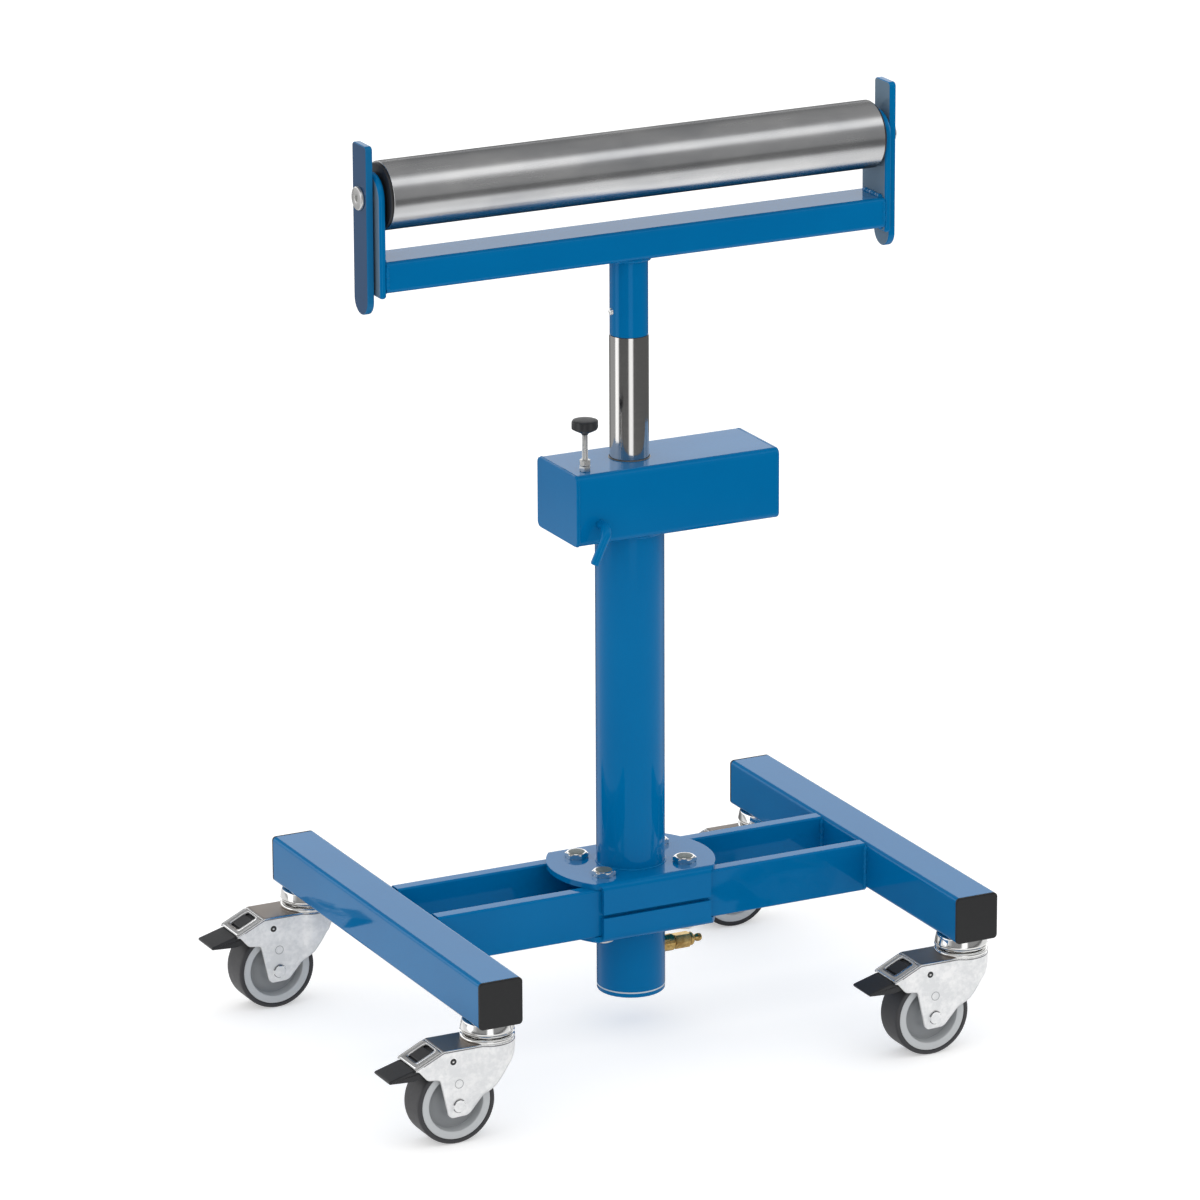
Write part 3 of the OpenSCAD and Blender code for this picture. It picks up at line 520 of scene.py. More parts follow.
# Grey for the thin ring lines on the fork's cheeks.
MARK = moulded("grey ring line", linear(158, 160, 163), 0.4)
DULL = moulded("dull bolt face", linear(92, 103, 100), 0.35)
# Pale diffuse white for the column's thin rings: a painted highlight.
PAINTED_HIGHLIGHT_WHITE = moulded("white painted highlight", linear(216, 224, 228), 0.35)
LIP = moulded("grey scraper", linear(78, 80, 82), 0.25)
RUBBER = moulded("black rubber", linear(30, 30, 32), 0.6)
TYRE = moulded("grey-black tyre", linear(54, 54, 57), 0.5, 220)
RIM = moulded("grey rim plastic", linear(193, 196, 198), 0.38, 300, 0.02)
# The dish is the rim's grey plastic made darker: painted shade in the wheel's recess.
DISH_PAINTED_SHADE = moulded("wheel dish with painted shade", linear(150, 153, 156), 0.38, 300, 0.02)

SLOT_FINISH = {
    "blue_paint": PAINT, "zinc": ZINC, "galvanised": ROLLER, "polished_steel": POLISHED,
    "plain_steel": STEEL, "brass": BRASS, "black_plastic": BLACK, "black_rubber": RUBBER,
    "tyre_rubber": TYRE, "rim_plastic": RIM,
}
for part in frame["record"]["subparts"]:
    cad = frame["nodes"][part["node"]]
    for own in cad.material_slots:
        own.material = SLOT_FINISH[part["material_slot"]]


# ---------------------------------------------------------------- base frame


def tube_of(node, corner, wall, axis, edge, name, body="base"):
    """Painted rectangular tube in place of a CAD one, open at both ends."""
    low, high = span(node)
    across, along = {"x": ([1, 2], 0), "y": ([2, 0], 1)}[axis]
    outer = rectangle(low[across], high[across], corner)
    inner = rectangle(low[across] + wall, high[across] - wall, max(corner - wall, 0.5))
    painted(name, body, pipe(outer, inner, low[along], high[along], edge, axis), replaces=[node])


def end_caps():
    """Four moulded caps: a plate with rounded edges and a hollow plug inside the beam."""
    low, high = span("beam_end_caps")
    deep = 12
    shapes = []
    for side in ("left", "right"):
        a, b = span(side + "_beam")
        plate, plug, hole = [rectangle(a[[2, 0]] + d, b[[2, 0]] - d, r) for d, r in ((0, 4), (2.75, 2.4), (5.25, 1))]
        shapes += [prism(plate, low[1], a[1] - 0.05, (1.1, 0.2), "y"),
                   prism(plate, b[1] + 0.05, high[1], (0.2, 1.1), "y"),
                   pipe(plug, hole, a[1] - 0.1, a[1] + deep, 0.3, "y"),
                   pipe(plug, hole, b[1] - deep, b[1] + 0.1, 0.3, "y")]
    make("end_caps", "base", "black_plastic", CAP, *shapes, replaces=["beam_end_caps"])


def frame_welds():
    """Beads down both faces of each rail where it meets a beam."""
    shapes = []
    for name in ("front", "rear"):
        low, high = span(name + "_rail")
        for x, inward in ((low[0], 1), (high[0], -1)):
            for y, out in ((low[1], -1), (high[1], 1)):
                at = x + inward * 0.6, y + out * 0.3
                shapes.append(bead(line((*at, low[2] + 2), (*at, high[2] - 2)), 2.3, (1, 1, 0), seed=x + y))
    painted("rail_welds", "base", *shapes)


def hub_plate(name, node, top):
    """Round plate whose sides are bent round the rails, open where the column stands.

    Across Y the section is a flat, a quarter bend and a skirt on each side. Along X every row runs from the
    disc's edge to the hole's: x = sqrt(r^2 - y^2) for each circle.
    """
    low, high = span(node)
    skirt_y, bend, slit, columns = high[1], 6, 0.65, 25
    flat_y, radius = skirt_y - bend, (high[0] - low[0]) / 2
    bore = span("column_tube")[1][0] - 0.5
    a = np.linspace(0, np.pi / 2, 8)[1:]
    flat = np.concatenate([bore * np.sin(np.linspace(0, np.pi / 2, 18)), np.linspace(bore, flat_y, 8)[1:]])
    y = np.concatenate([flat, flat_y + bend * np.sin(a), np.full(5, skirt_y)])
    z = np.concatenate([0 * flat, bend * (np.cos(a) - 1), np.linspace(-bend, low[2] - high[2] + slit, 6)[1:]])
    y, z = np.concatenate([-y[:0:-1], y]), np.concatenate([z[:0:-1], z])
    edge, hole = np.sqrt(radius ** 2 - y ** 2), np.sqrt(np.maximum(bore ** 2 - y ** 2, 0))
    x = hole[:, None] + (edge - hole)[:, None] * np.linspace(0, 1, columns)
    x = np.concatenate([-x[:, ::-1], x], 1)
    z = high[2] + z if top else low[2] - z
    points = np.stack([x, y[:, None] + 0 * x, z[:, None] + 0 * x], -1)
    keep = np.ones((len(y) - 1, 2 * columns - 1), bool)
    keep[:, columns - 1] = False
    painted(name, "base", patch(points, keep=keep, flip=not top), replaces=[node], sheet=5.5, bevel=0.6)


def hub_fasteners():
    """Four bolts with chamfered heads and dull top faces, and their nuts."""
    (_, _, foot), (_, _, top) = span("hub_bolts")
    (_, _, nut), (_, _, nut_top) = span("hub_nuts")
    plate, top = span("hub_top_plate")[1][2], top - 0.8
    head_across, nut_across, shank, washer = 20.2, 18, 5, 0.5
    places = [(x, y, 0) for x in (-44, 44) for y in (-29.5, 29.5)]
    bolt = [hex_block(head_across, plate + washer, top - 0.3, both=False), drum(10.2, plate, plate + washer),
            lathe([(0, foot), (4.4, foot), (shank, foot + 0.6), (shank, nut + 1), (0, nut + 1)], steps=32)]
    face = lathe([(0, top - 0.5), (8.1, top - 0.5), (8.1, top - 0.2), (7.8, top), (0, top)], steps=48)
    rows = [("hub_bolt_heads", CHROME, bolt, ["hub_bolts"]), ("hub_bolt_tops", DULL, [face], []),
            ("hub_clamp_nuts", ZINC, [hex_block(nut_across, nut, nut_top)], ["hub_nuts"])]
    for name, finish, shapes, nodes in rows:
        make(name, "base", "zinc", finish, *[shifted(shape, at) for at in places for shape in shapes], replaces=nodes)


for side in ("left", "right"):
    tube_of(side + "_beam", 4, 2.5, "y", 0.2, side + "_beam_tube")
for side in ("front", "rear"):
    tube_of(side + "_rail", 2.2, 2, "x", 0.1, side + "_rail_tube")
end_caps()
frame_welds()
hub_plate("upper_hub_plate", "hub_top_plate", True)
hub_plate("lower_hub_plate", "hub_bottom_plate", False)
hub_fasteners()


# ---------------------------------------------------------------- column and air fitting


def column():
    """Column tube with its foot, two white rings as painted highlights, and the beads holding it to the hub and box."""
    low, high = span("column_tube")
    r = (high[0] - low[0]) / 2
    wall, low, high = 3.25, low[2], high[2]
    inner, foot, rim = r - wall, span("column_foot")[0][2], low - 1.5
    hub_top, hub_low = span("hub_top_plate")[1][2], span("hub_bottom_plate")[0][2]
    painted("column_wall", "base", sleeve(inner, r, low, high), replaces=["column_tube"])
    a = np.linspace(0, np.pi / 2, 8)
    profile = [(0, foot), *zip(r - 1.6 + 1.5 * np.sin(a), foot + 1.5 - 1.5 * np.cos(a)), (r - 0.1, rim - 0.1),
               (r - 0.5, rim), (inner - 0.2, rim), (inner - 0.2, low + 1.8), (0, low + 1.8)]
    painted("column_foot_cap", "base", lathe(profile), replaces=["column_foot"])
    # Both rings are pale diffuse white: painted highlights on the foot's top edge and under the hub's lower plate.
    rings = [[(r - 2.5, rim), (r - 0.05, rim), (r + 0.05, rim + 0.15), (r - 0.8, low - 0.02), (r - 2.5, low - 0.02)],
             [(r + 0.02, hub_low - 1.6), (r + 0.9, hub_low - 1.6), (r + 1.1, hub_low - 1.4), (r + 0.3, hub_low - 0.02),
              (r + 0.02, hub_low - 0.02)]]
    make("column_highlight_rings", "base", "zinc", PAINTED_HIGHLIGHT_WHITE, *[lathe(ring, loop=True) for ring in rings])
    painted("column_welds", "base", bead(hoop(r + 0.3, hub_top + 0.2), 1.1, (0, 0, 1), loop=True, pitch=4, seed=2),
            bead(hoop(r + 0.2, high - 0.9), 2.2, (0, 0, 1), loop=True, pitch=4, seed=8))


def air_fitting():
    """Brass adapter with a flange and a hexagon, and a plug with a collar and a ball tip."""
    low, high = span("air_adapter")
    tip = span("air_plug")[1][0]
    z, wall = (low[2] + high[2]) / 2, span("column_tube")[1][0]
    flange, start = wall + 12, high[0]
    body = [hex_block(14, flange + 0.6, start, "x", turn=TURN / 12),
            lathe([(0, wall - 3), (8.2, wall - 3), (8.5, flange - 1.2), (8.1, flange - 0.4), (6.6, flange),
                   (6.6, flange + 0.7), (0, flange + 0.7)], "x"),
            drum(5, low[0], wall - 2, "x", 32)]
    collar = [(2, -0.1), (5.6, -0.1), (5.7, 0.4), (6.5, 0.6), (6.75, 1.2), (6.7, 2.6), (5.9, 3.6), (4.4, 4.8),
              (3.3, 5.4), (2.9, 6.2), (3.1, 7.0), (3.7, 8.0), (4.0, 9.4), (4.0, 10.8), (3.7, 12.2)]
    plug = [(r, start + x) for r, x in collar] + [(3.1, tip - 0.3), (2.5, tip), (2, tip - 0.3)]
    for name, shapes, node in (("air_adapter_body", body, "air_adapter"),
                               ("air_plug_body", [lathe(plug, "x", 48, loop=True)], "air_plug")):
        make(name, "base", "brass", BRASS, *[shifted(shape, (0, 0, z)) for shape in shapes], replaces=[node])


column()
air_fitting()


# ---------------------------------------------------------------- lock box


def box_tube(low, high, bore):
    """Tube of the box from its two corners, with a hole for the ram in its top and floor.

    The section is two rounded rectangles that share their Y values. Each half along X runs from its end to
    the hole, x = sqrt(bore^2 - y^2), and back inside the wall. Where there is no hole the halves meet at 0.
    """
    y = bore * np.sin(np.linspace(-1, 1, 33) * np.pi / 2)
    sections = []
    for depth, r in ((0, 6), (3, 3)):
        a, b, c, d = rectangle(low[1:] + depth, high[1:] - depth, r, 8).reshape(4, -1, 2)
        floor, top = [np.stack([way * y, 0 * y + z], 1) for way, z in ((1, low[2] + depth), (-1, high[2] - depth))]
        sections.append(np.concatenate([a, floor, b, c, top, d]))
    outer, inner = sections
    hole = np.sqrt(np.maximum(bore ** 2 - outer[:, 0] ** 2, 0))
    keep = np.ones((4, len(hole)), bool)
    keep[1] = np.maximum(hole, np.roll(hole, -1)) > 0.001
    verts, faces = [], []
    for way, end in ((-1, low[0] + 3), (1, high[0] - 3)):
        x = np.stack([0 * hole + end, way * hole, way * hole, 0 * hole + end])
        points = np.concatenate([np.stack([outer, outer, inner, inner]), x[..., None]], -1)
        half = patch(lay(points, "x"), loop_rows=True, loop_columns=True, keep=keep)
        faces += (np.array(half[1]) + len(verts) * len(half[0])).tolist()
        verts.append(half[0])
    return np.concatenate(verts), faces


def lock_box():
    """Folded box with two welded ends. The tube, the ends and the ground seams are one paint."""
    low, high = span("lock_box_ends")
    wall = 3
    outer = rectangle(low[1:], high[1:], 6, 8)
    shapes = [box_tube(low, high, span("ram_tube")[1][0] + 0.7), prism(outer, low[0], low[0] + wall, (0.9, 0.02), "x"),
              prism(outer, high[0] - wall, high[0], (0.02, 0.9), "x")]
    painted("lock_box_shell", "base", *shapes, replaces=["lock_box", "lock_box_ends"])
    seams = []
    for x, sunk in ((low[0] + 2.6, 0.4), (high[0] - 2.6, 0.75)):
        loop = np.insert(inset(outer, sunk), 0, x, 1)
        dense = np.concatenate([line(p, q, 1.2)[:-1] for p, q in zip(loop, np.roll(loop, -1, 0))])
        seams.append(bead(dense, 0.95, (1, 0, 0), loop=True, pitch=5, seed=x))
    painted("lock_box_seams", "base", *seams)


def wiper():
    """Thin scraper ring round the ram, low on the box."""
    low, high = span("tube_wiper")
    z, r = low[2], (high[0] - low[0]) / 2
    bore = r - 1.25
    profile = [(bore, z), (r - 0.3, z), (r - 0.4, z + 0.2), (bore + 0.3, z + 0.5), (bore, z + 1.1)]
    make("wiper_ring", "base", "black_rubber", LIP, lathe(profile, loop=True), replaces=["tube_wiper"])


def thread(radius, pitch, low, high):
    """Threaded rod: the radius is a triangle wave of height less angle over one turn."""
    z = np.arange(low, high, pitch / 5)
    steps, depth = 32, 0.5
    phase = z[:, None] / pitch - np.arange(steps) / steps
    return turned(radius - depth * np.abs(2 * (phase % 1) - 1), z)


def stud_and_knob():
    """Adjusting stud with its two lock nuts and the star knob.

    The knob's radius is the soft minimum of six lobes round it and a limit for each height.
    """
    low, high = span("star_knob")
    (_, _, nut), (_, _, nut_top) = span("lock_nuts")
    at = (*(low[:2] + high[:2]) / 2, 0)
    low, high = low[2], high[2]
    gap = 0.3
    middle = nut + (nut_top - nut - gap) / 2
    nuts = [shifted(hex_block(10, nut, middle, turn=TURN / 12), at),
            shifted(hex_block(10, middle + gap, nut_top, turn=TURN / 12 - 0.07), at)]
    make("stud_lock_nuts", "base", "zinc", ZINC, *nuts, replaces=["lock_nuts"])
    stud = shifted(thread(3, 1, span("adjusting_stud")[0][2], low + 4), at)
    make("threaded_stud", "knob", "zinc", ZINC, stud, replaces=["adjusting_stud"])
    a = np.arange(144) * TURN / 144
    lobes = 12.55 + 0.7 * np.cos(6 * a + 0.6) - 0.12 * np.cos(12 * a + 1.2)
    share = np.array([0, 0.03, 0.09, 0.2, 0.31, 0.38, 0.42, 0.46, 0.55, 0.75, 0.84, 0.9, 0.94, 0.97, 0.99, 1])
    limit = np.array([0.24, 0.25, 0.3, 0.55, 0.79, 0.92, 0.98, 1, 1.02, 1.02, 1, 0.975, 0.93, 0.84, 0.6, 0.3])
    limit, blend = limit[:, None] * 13.25, 0.25
    soft = -np.log(np.exp(-lobes / blend) + np.exp(-limit / blend)) * blend
    knob = turned(np.maximum(np.minimum(soft, limit), 0.5), low + share * (high - low))
    make("star_knob_body", "knob", "black_plastic", BLACK, shifted(knob, at), replaces=["star_knob"])


def release_lever():
    """Round bar: a shaft along Y, a quarter bend and an arm that leans to the left."""
    shaft_x, shaft_z, front, finger_top = -53, 525.5, -42.75, 533.1
    lean, bend_r, r = np.radians(25), 11, 4.4
    down = np.array([-np.sin(lean), 0, -np.cos(lean)])
    forward = np.array([0, -1, 0])
    start = np.array([shaft_x, front, shaft_z])
    a = np.linspace(0, np.pi / 2, 14)[:, None]
    bend = start + forward * (8 + bend_r * np.sin(a)) + down * bend_r * (1 - np.cos(a))
    shaft = start + forward * np.linspace(-17, 7.5, 12)[:, None]
    arm = bend[-1] + down * np.array([2, 6, 12, 18, 24, 25.2, 25.8, 26])[:, None]
    path = np.concatenate([shaft, bend, arm])
    radius = np.full(len(path), r)
    radius[len(shaft): len(shaft) + len(bend)] += 0.7 * np.sin(np.linspace(0, np.pi, len(bend)))
    radius[-3:] = 4.1, 3.7, 3.0
    finger = prism(rectangle((shaft_x - 4.25, front + 14), (shaft_x + 10, front + 19.5), 1), shaft_z, finger_top, 0.4)
    painted("lever_bar", "lever", rod(path, radius, np.cross(forward, down), 28), finger, replaces=["release_lever"])


def coil_spring():
    """Compression spring round the stud: a helix with closed ends. Its foot leaves room for the plate's tilt."""
    low, high = span("brake_spring")
    x, y = (low[:2] + high[:2]) / 2
    t = np.linspace(0, 1, 180)
    turns, r, half_wire, room = 5, 4.6, 1.5, 3.4
    foot, top = low[2] + half_wire + room, high[2] - half_wire
    z = foot + (top - foot) * np.clip((t - 0.1) / 0.8, 0, 1)
    a = t * turns * TURN
    path = np.stack([x + r * np.cos(a), y + r * np.sin(a), z], 1)
    make("coil_spring", "base", "plain_steel", STEEL, rod(path, 1.4, (0, 0, 1), 12), replaces=["brake_spring"])


lock_box()
wiper()
stud_and_knob()
release_lever()
coil_spring()


# ---------------------------------------------------------------- ram and roller head


def ram():
    """Ground and polished tube."""
    low, high = span("ram_tube")
    r = (high[0] - low[0]) / 2
    make("ram_wall", "ram", "polished_steel", POLISHED, sleeve(r - 3, r, low[2], high[2]), replaces=["ram_tube"])


def stem():
    """Painted stem with a rounded foot, its bead under the crossbar and its locking screw."""
    low, high = span("head_stem")
    r = (high[0] - low[0]) / 2
    low, high = low[2], high[2]
    profile = [(r - 3, low), (r - 0.9, low), (r - 0.25, low + 0.3), (r, low + 1), (r, high), (r - 3, high)]
    painted("stem_wall", "ram", lathe(profile, loop=True), replaces=["head_stem"])
    painted("stem_weld", "ram", bead(hoop(r + 0.8, high - 0.8), 2.4, (0, 0, 1), loop=True, pitch=4, seed=3))
    (head, _, low), (_, _, high) = span("stem_screw")
    profile = [(0, 0), (1.6, 0.15), (2.8, 0.8), (3.5, 1.9), (3.5, 3), (2.5, 3), (2.5, 5.4), (0, 5.4)]
    screw = shifted(lathe(profile, "x", 48), (head, 0, (low + high) / 2))
    make("stem_lock_screw", "ram", "zinc", ZINC, screw, replaces=["stem_screw"])


def lugs():
    """End plates of the head: a half round over a straight, with soft edges, and their beads."""
    for side in ("left", "right"):
        low, high = span(side + "_lug")
        r = (high[1] - low[1]) / 2
        z = high[2] - r
        a = np.linspace(0, np.pi, 48)
        foot = rounded([(-r, z - 5), (-r, low[2]), (r, low[2]), (r, z - 5)], 3, 6, closed=False)[1:-1]
        outline = np.concatenate([np.stack([r * np.cos(a), z + r * np.sin(a)], 1), foot])
        plate = prism(outline, low[0], high[0], 3, "x", 6)
        # The lug's -X faces carry a painted grey reflection.
        painted(side + "_lug_plate", "ram", plate, paint=LUG_PAINT_PAINTED_SIDE_REFLECTION, replaces=[side + "_lug"])
    low, high = span("crossbar")
    shapes = []
    for x, inward in ((low[0], 1), (high[0], -1)):
        for y in (low[1] + 1, high[1] - 1):
            at = x + inward, y
            shapes.append(bead(line((*at, low[2] + 3), (*at, high[2] - 3)), 1.7, (1, 1, 0), seed=x + y))
        for z in (low[2], high[2]):
            across = line((x + inward * 0.8, low[1] + 5, z), (x + inward * 0.8, high[1] - 5, z))
            shapes.append(bead(across, 2.2, (1, 0, 1), seed=x + z))
    painted("lug_welds", "ram", *shapes)


def axle_and_pivots():
    """Roller axle, washers and the two socket screws that the guide plates turn on."""
    low, high = span("roller_axle")
    z = (low[2] + high[2]) / 2
    axle = shifted(sleeve(5, 8, low[0], high[0], "x"), (0, 0, z))
    make("axle_bar", "ram", "plain_steel", STEEL, axle, replaces=["roller_axle"])
    spacer, end = span("guide_spacers")[1][0], span("pivot_bolts")[1][0]
    washers, screws = [], []
    socket, flat = hexagon(7), np.ones(HEX_STEPS)
    head = [flat * r for r in (10.9, 11.25, 11.25, 10.9, 10.2, 4.6)] + [socket, socket, socket * 0.2]
    for sign in (-1, 1):
        a, b = sign * (spacer - 2), sign * spacer
        seat, top, soft = sign * (spacer + 7.3), sign * end, sign * 0.4
        deep = top - sign * 2.2
        washers.append(lathe([(5, a), (9.6, a), (10, a + soft), (10, b - soft), (9.6, b), (5, b)], "x", loop=True))
        steps = [seat, seat + soft, top - sign * 1.2, top - soft, top, top, top - soft, deep, deep - sign * 0.3]
        screws += [turned(head, steps, "x"), drum(5, sign * (spacer - 18), seat + sign * 0.2, "x", 32)]
    for name, shapes, node in (("pivot_washers", washers, "guide_spacers"), ("pivot_screws", screws, "pivot_bolts")):
        make(name, "ram", "zinc", ZINC, *[shifted(shape, (0, 0, z)) for shape in shapes], replaces=[node])


def guide_plates():
    """Swinging stops: a long bar with a round foot, square head and softened edges."""
    # Left bar: painted shade on its -X faces; right bar: a painted grey reflection there.
    for side, paint_used in (("left", PLATE_PAINT_PAINTED_SIDE_SHADE), ("right", LUG_PAINT_PAINTED_SIDE_REFLECTION)):
        low, high = span(side + "_guide_plate")
        r, top = (high[1] - low[1]) / 2, high[2]
        a = np.linspace(np.pi, TURN, 40)
        foot = np.stack([r * np.cos(a), low[2] + r + r * np.sin(a)], 1)
        head = rounded([(r, top - 20), (r, top), (-r, top), (-r, top - 20)], [1, 4, 4, 1], 7, closed=False)[1:-1]
        bar = prism(np.concatenate([foot, head]), low[0], high[0], 1.0, "x")
        painted(side + "_guide_bar", side + "_guide", bar, paint=paint_used, replaces=[side + "_guide_plate"])


def roller():
    """Roller tube with a lip at each end and recessed black caps."""
    low, high = span("roller_tube")
    z, r, half = (low[2] + high[2]) / 2, (high[2] - low[2]) / 2, high[0]
    lip = [(r - 3, 0), (r - 0.6, 0), (r - 0.15, 0.2), (r, 0.7)]
    wall = lathe([(p, q - half) for p, q in lip] + [(p, half - q) for p, q in lip[::-1]], "x", 192, loop=True)
    make("roller_wall", "roller", "galvanised", ROLLER, shifted(wall, (0, 0, z)), replaces=["roller_tube"])
    face = span("roller_end_caps")[1][0]
    profile = [(8.5, half - 12), (8.5, face - 1.5), (14.5, face - 1.5), (15.5, face - 0.2), (16.2, face),
               (r - 2.9, face), (r - 1.8, face - 0.3), (r - 1.5, face - 1), (r - 1.5, half + 0.1),
               (r - 3.1, half + 0.05), (r - 3.1, half - 12)]
    caps = [shifted(lathe([(p, sign * q) for p, q in profile], "x", loop=True), (0, 0, z)) for sign in (-1, 1)]
    make("roller_caps", "roller", "black_plastic", BLACK, *caps, replaces=["roller_end_caps"])


tube_of("crossbar", 4.6, 2.5, "x", 0.1, "crossbar_tube", "ram")
ram()
stem()
lugs()
axle_and_pivots()
guide_plates()
roller()


# ---------------------------------------------------------------- casters

# Wheel and fork: CHEEK and CROWN_R are half the fork's width and its radius, HOOD lengths are from the axle.
WHEEL_R, TRAIL, CROWN_TOP, CHEEK, CROWN_R, SHEET, FOLD = 40, 40, 96.4, 21.3, 26, 2.3, 1.8
HOOD_BEND, HOOD_END, HOOD_DROP = -15.0, -42.6, 13.6
CASTERS = {f"{row}_{side}": (x, y, 0) for row, y in (("front", -204), ("rear", 204))
           for side, x in (("left", -254.5), ("right", 254.5))}
AXLE = -TRAIL, 0, WHEEL_R
PIN = -TRAIL - 5.4, 0, WHEEL_R + 44.7


def race():
    """Swivel race: a cup that narrows upward, over a thin lip, and its stem through the fork's crown."""
    z0, z1 = span("caster_races")[0][2], span("left_beam")[0][2]
    cup = [(0, 10), (6, 10), (6, -0.02), (22, -0.02), (23.6, -0.5), (24.3, -1.6), (25.6, -8.2), (25.6, -9.2),
           (25.2, -9.8), (25.1, -10.1), (25.6, -10.3), (26, -10.8), (25.8, -11.5), (25, -12), (23.6, -12.3),
           (19.8, -12.8)]
    foot = [(19.8, 0), (6, 0), (6, -2.9), (8.6, -2.9), (9, -3.4), (9, -5.6), (0, -5.6)]
    return lathe([(r, z1 + z) for r, z in cup] + [(r, z0 + z) for r, z in foot])


def swivel_ring():
    """Lower race cup, which turns with the fork."""
    profile = [(20.6, -0.4), (24.2, -0.4), (25.3, -0.2), (26, 0.5), (26.2, 1.6), (25.9, 2.8), (25.1, 3.7), (24, 4.1),
               (21.2, 4.2), (20.6, 3.8)]
    return lathe([(r, CROWN_TOP + z) for r, z in profile], loop=True)


def caster_bases():
    """The four races with their stems, and the nuts inside the beams."""
    floor_top, nut_across, nut_high = span("left_beam")[0][2] + 2.5, 18, 7.8
    nut = hex_block(nut_across, floor_top, floor_top + nut_high)
    rows = ("swivel_races", CHROME, race(), "caster_races"), ("stem_nuts", ZINC, nut, "caster_nuts")
    for name, finish, shape, node in rows:
        make(name, "base", "zinc", finish, *[shifted(shape, at) for at in CASTERS.values()], replaces=[node])


# Lower edge of the fork's cheek and bend line of its hood, about the axle.
LEG = np.array([(-1.08, 1.08), (-0.8, 0.755), (-0.47, 0.71), (-0.27, -0.21), (-0.19, -0.28), (0.19, -0.265),
                (0.28, -0.225), (0.62, 0.15), (0.92, 0.4), (1.131, 0.66), (1.23, 0.788), (1.381, 0.91),
                (1.501, 1.063), (1.584, 1.216), (1.675, 1.42)]) * WHEEL_R
LEG_EDGE = rounded(LEG, [1, 5, 4, 5, 4, 5, 5, 12, 12, 12, 12, 12, 12, 12, 1], 6, closed=False)
HOOD_TOP = CROWN_TOP - WHEEL_R
HOOD_LINE = rounded([(HOOD_END - 1, WHEEL_R + 3.2 - 0.44), (HOOD_BEND, HOOD_TOP), (80, HOOD_TOP)], 7, 7, closed=False)


def fork_rim():
    """Half plan of the fork about the axle: a straight cheek, a Hermite blend and the crown's arc.

    Also gives its normals. The cheek has a column wherever the leg's edge or the hood's line turns.
    """
    cheek_end, a0 = 22, np.radians(105)
    turns = np.concatenate([LEG_EDGE[LEG_EDGE[:, 0] < cheek_end, 0], HOOD_LINE[1:-1, 0]])
    xs = np.union1d(turns, np.linspace(HOOD_END, cheek_end, 30))
    xs = xs[np.concatenate([[True], np.diff(xs) > 0.15])]
    straight = np.stack([xs, np.full(len(xs), CHEEK)], 1)
    end = np.array([TRAIL + CROWN_R * np.cos(a0), CROWN_R * np.sin(a0)])
    start = np.array([cheek_end + 2, CHEEK])
    reach = np.linalg.norm(end - start)
    t = np.linspace(0, 1, 8)[:-1, None]
    slopes = np.array([1, 0]) * reach, np.array([np.sin(a0), -np.cos(a0)]) * reach
    blend = ((2 * t ** 3 - 3 * t ** 2 + 1) * start + (t ** 3 - 2 * t ** 2 + t) * slopes[0]
             + (3 * t ** 2 - 2 * t ** 3) * end + (t ** 3 - t ** 2) * slopes[1])
    a = np.linspace(a0, 0, 30)
    arc = np.stack([TRAIL + CROWN_R * np.cos(a), CROWN_R * np.sin(a)], 1)
    rim = np.concatenate([straight, blend, arc])
    along = unit(np.gradient(rim, axis=0))
    normal = np.stack([-along[:, 1], along[:, 0]], 1)
    normal[-1] = 1, 0
    normal[: len(straight)] = 0, 1
    return rim, normal


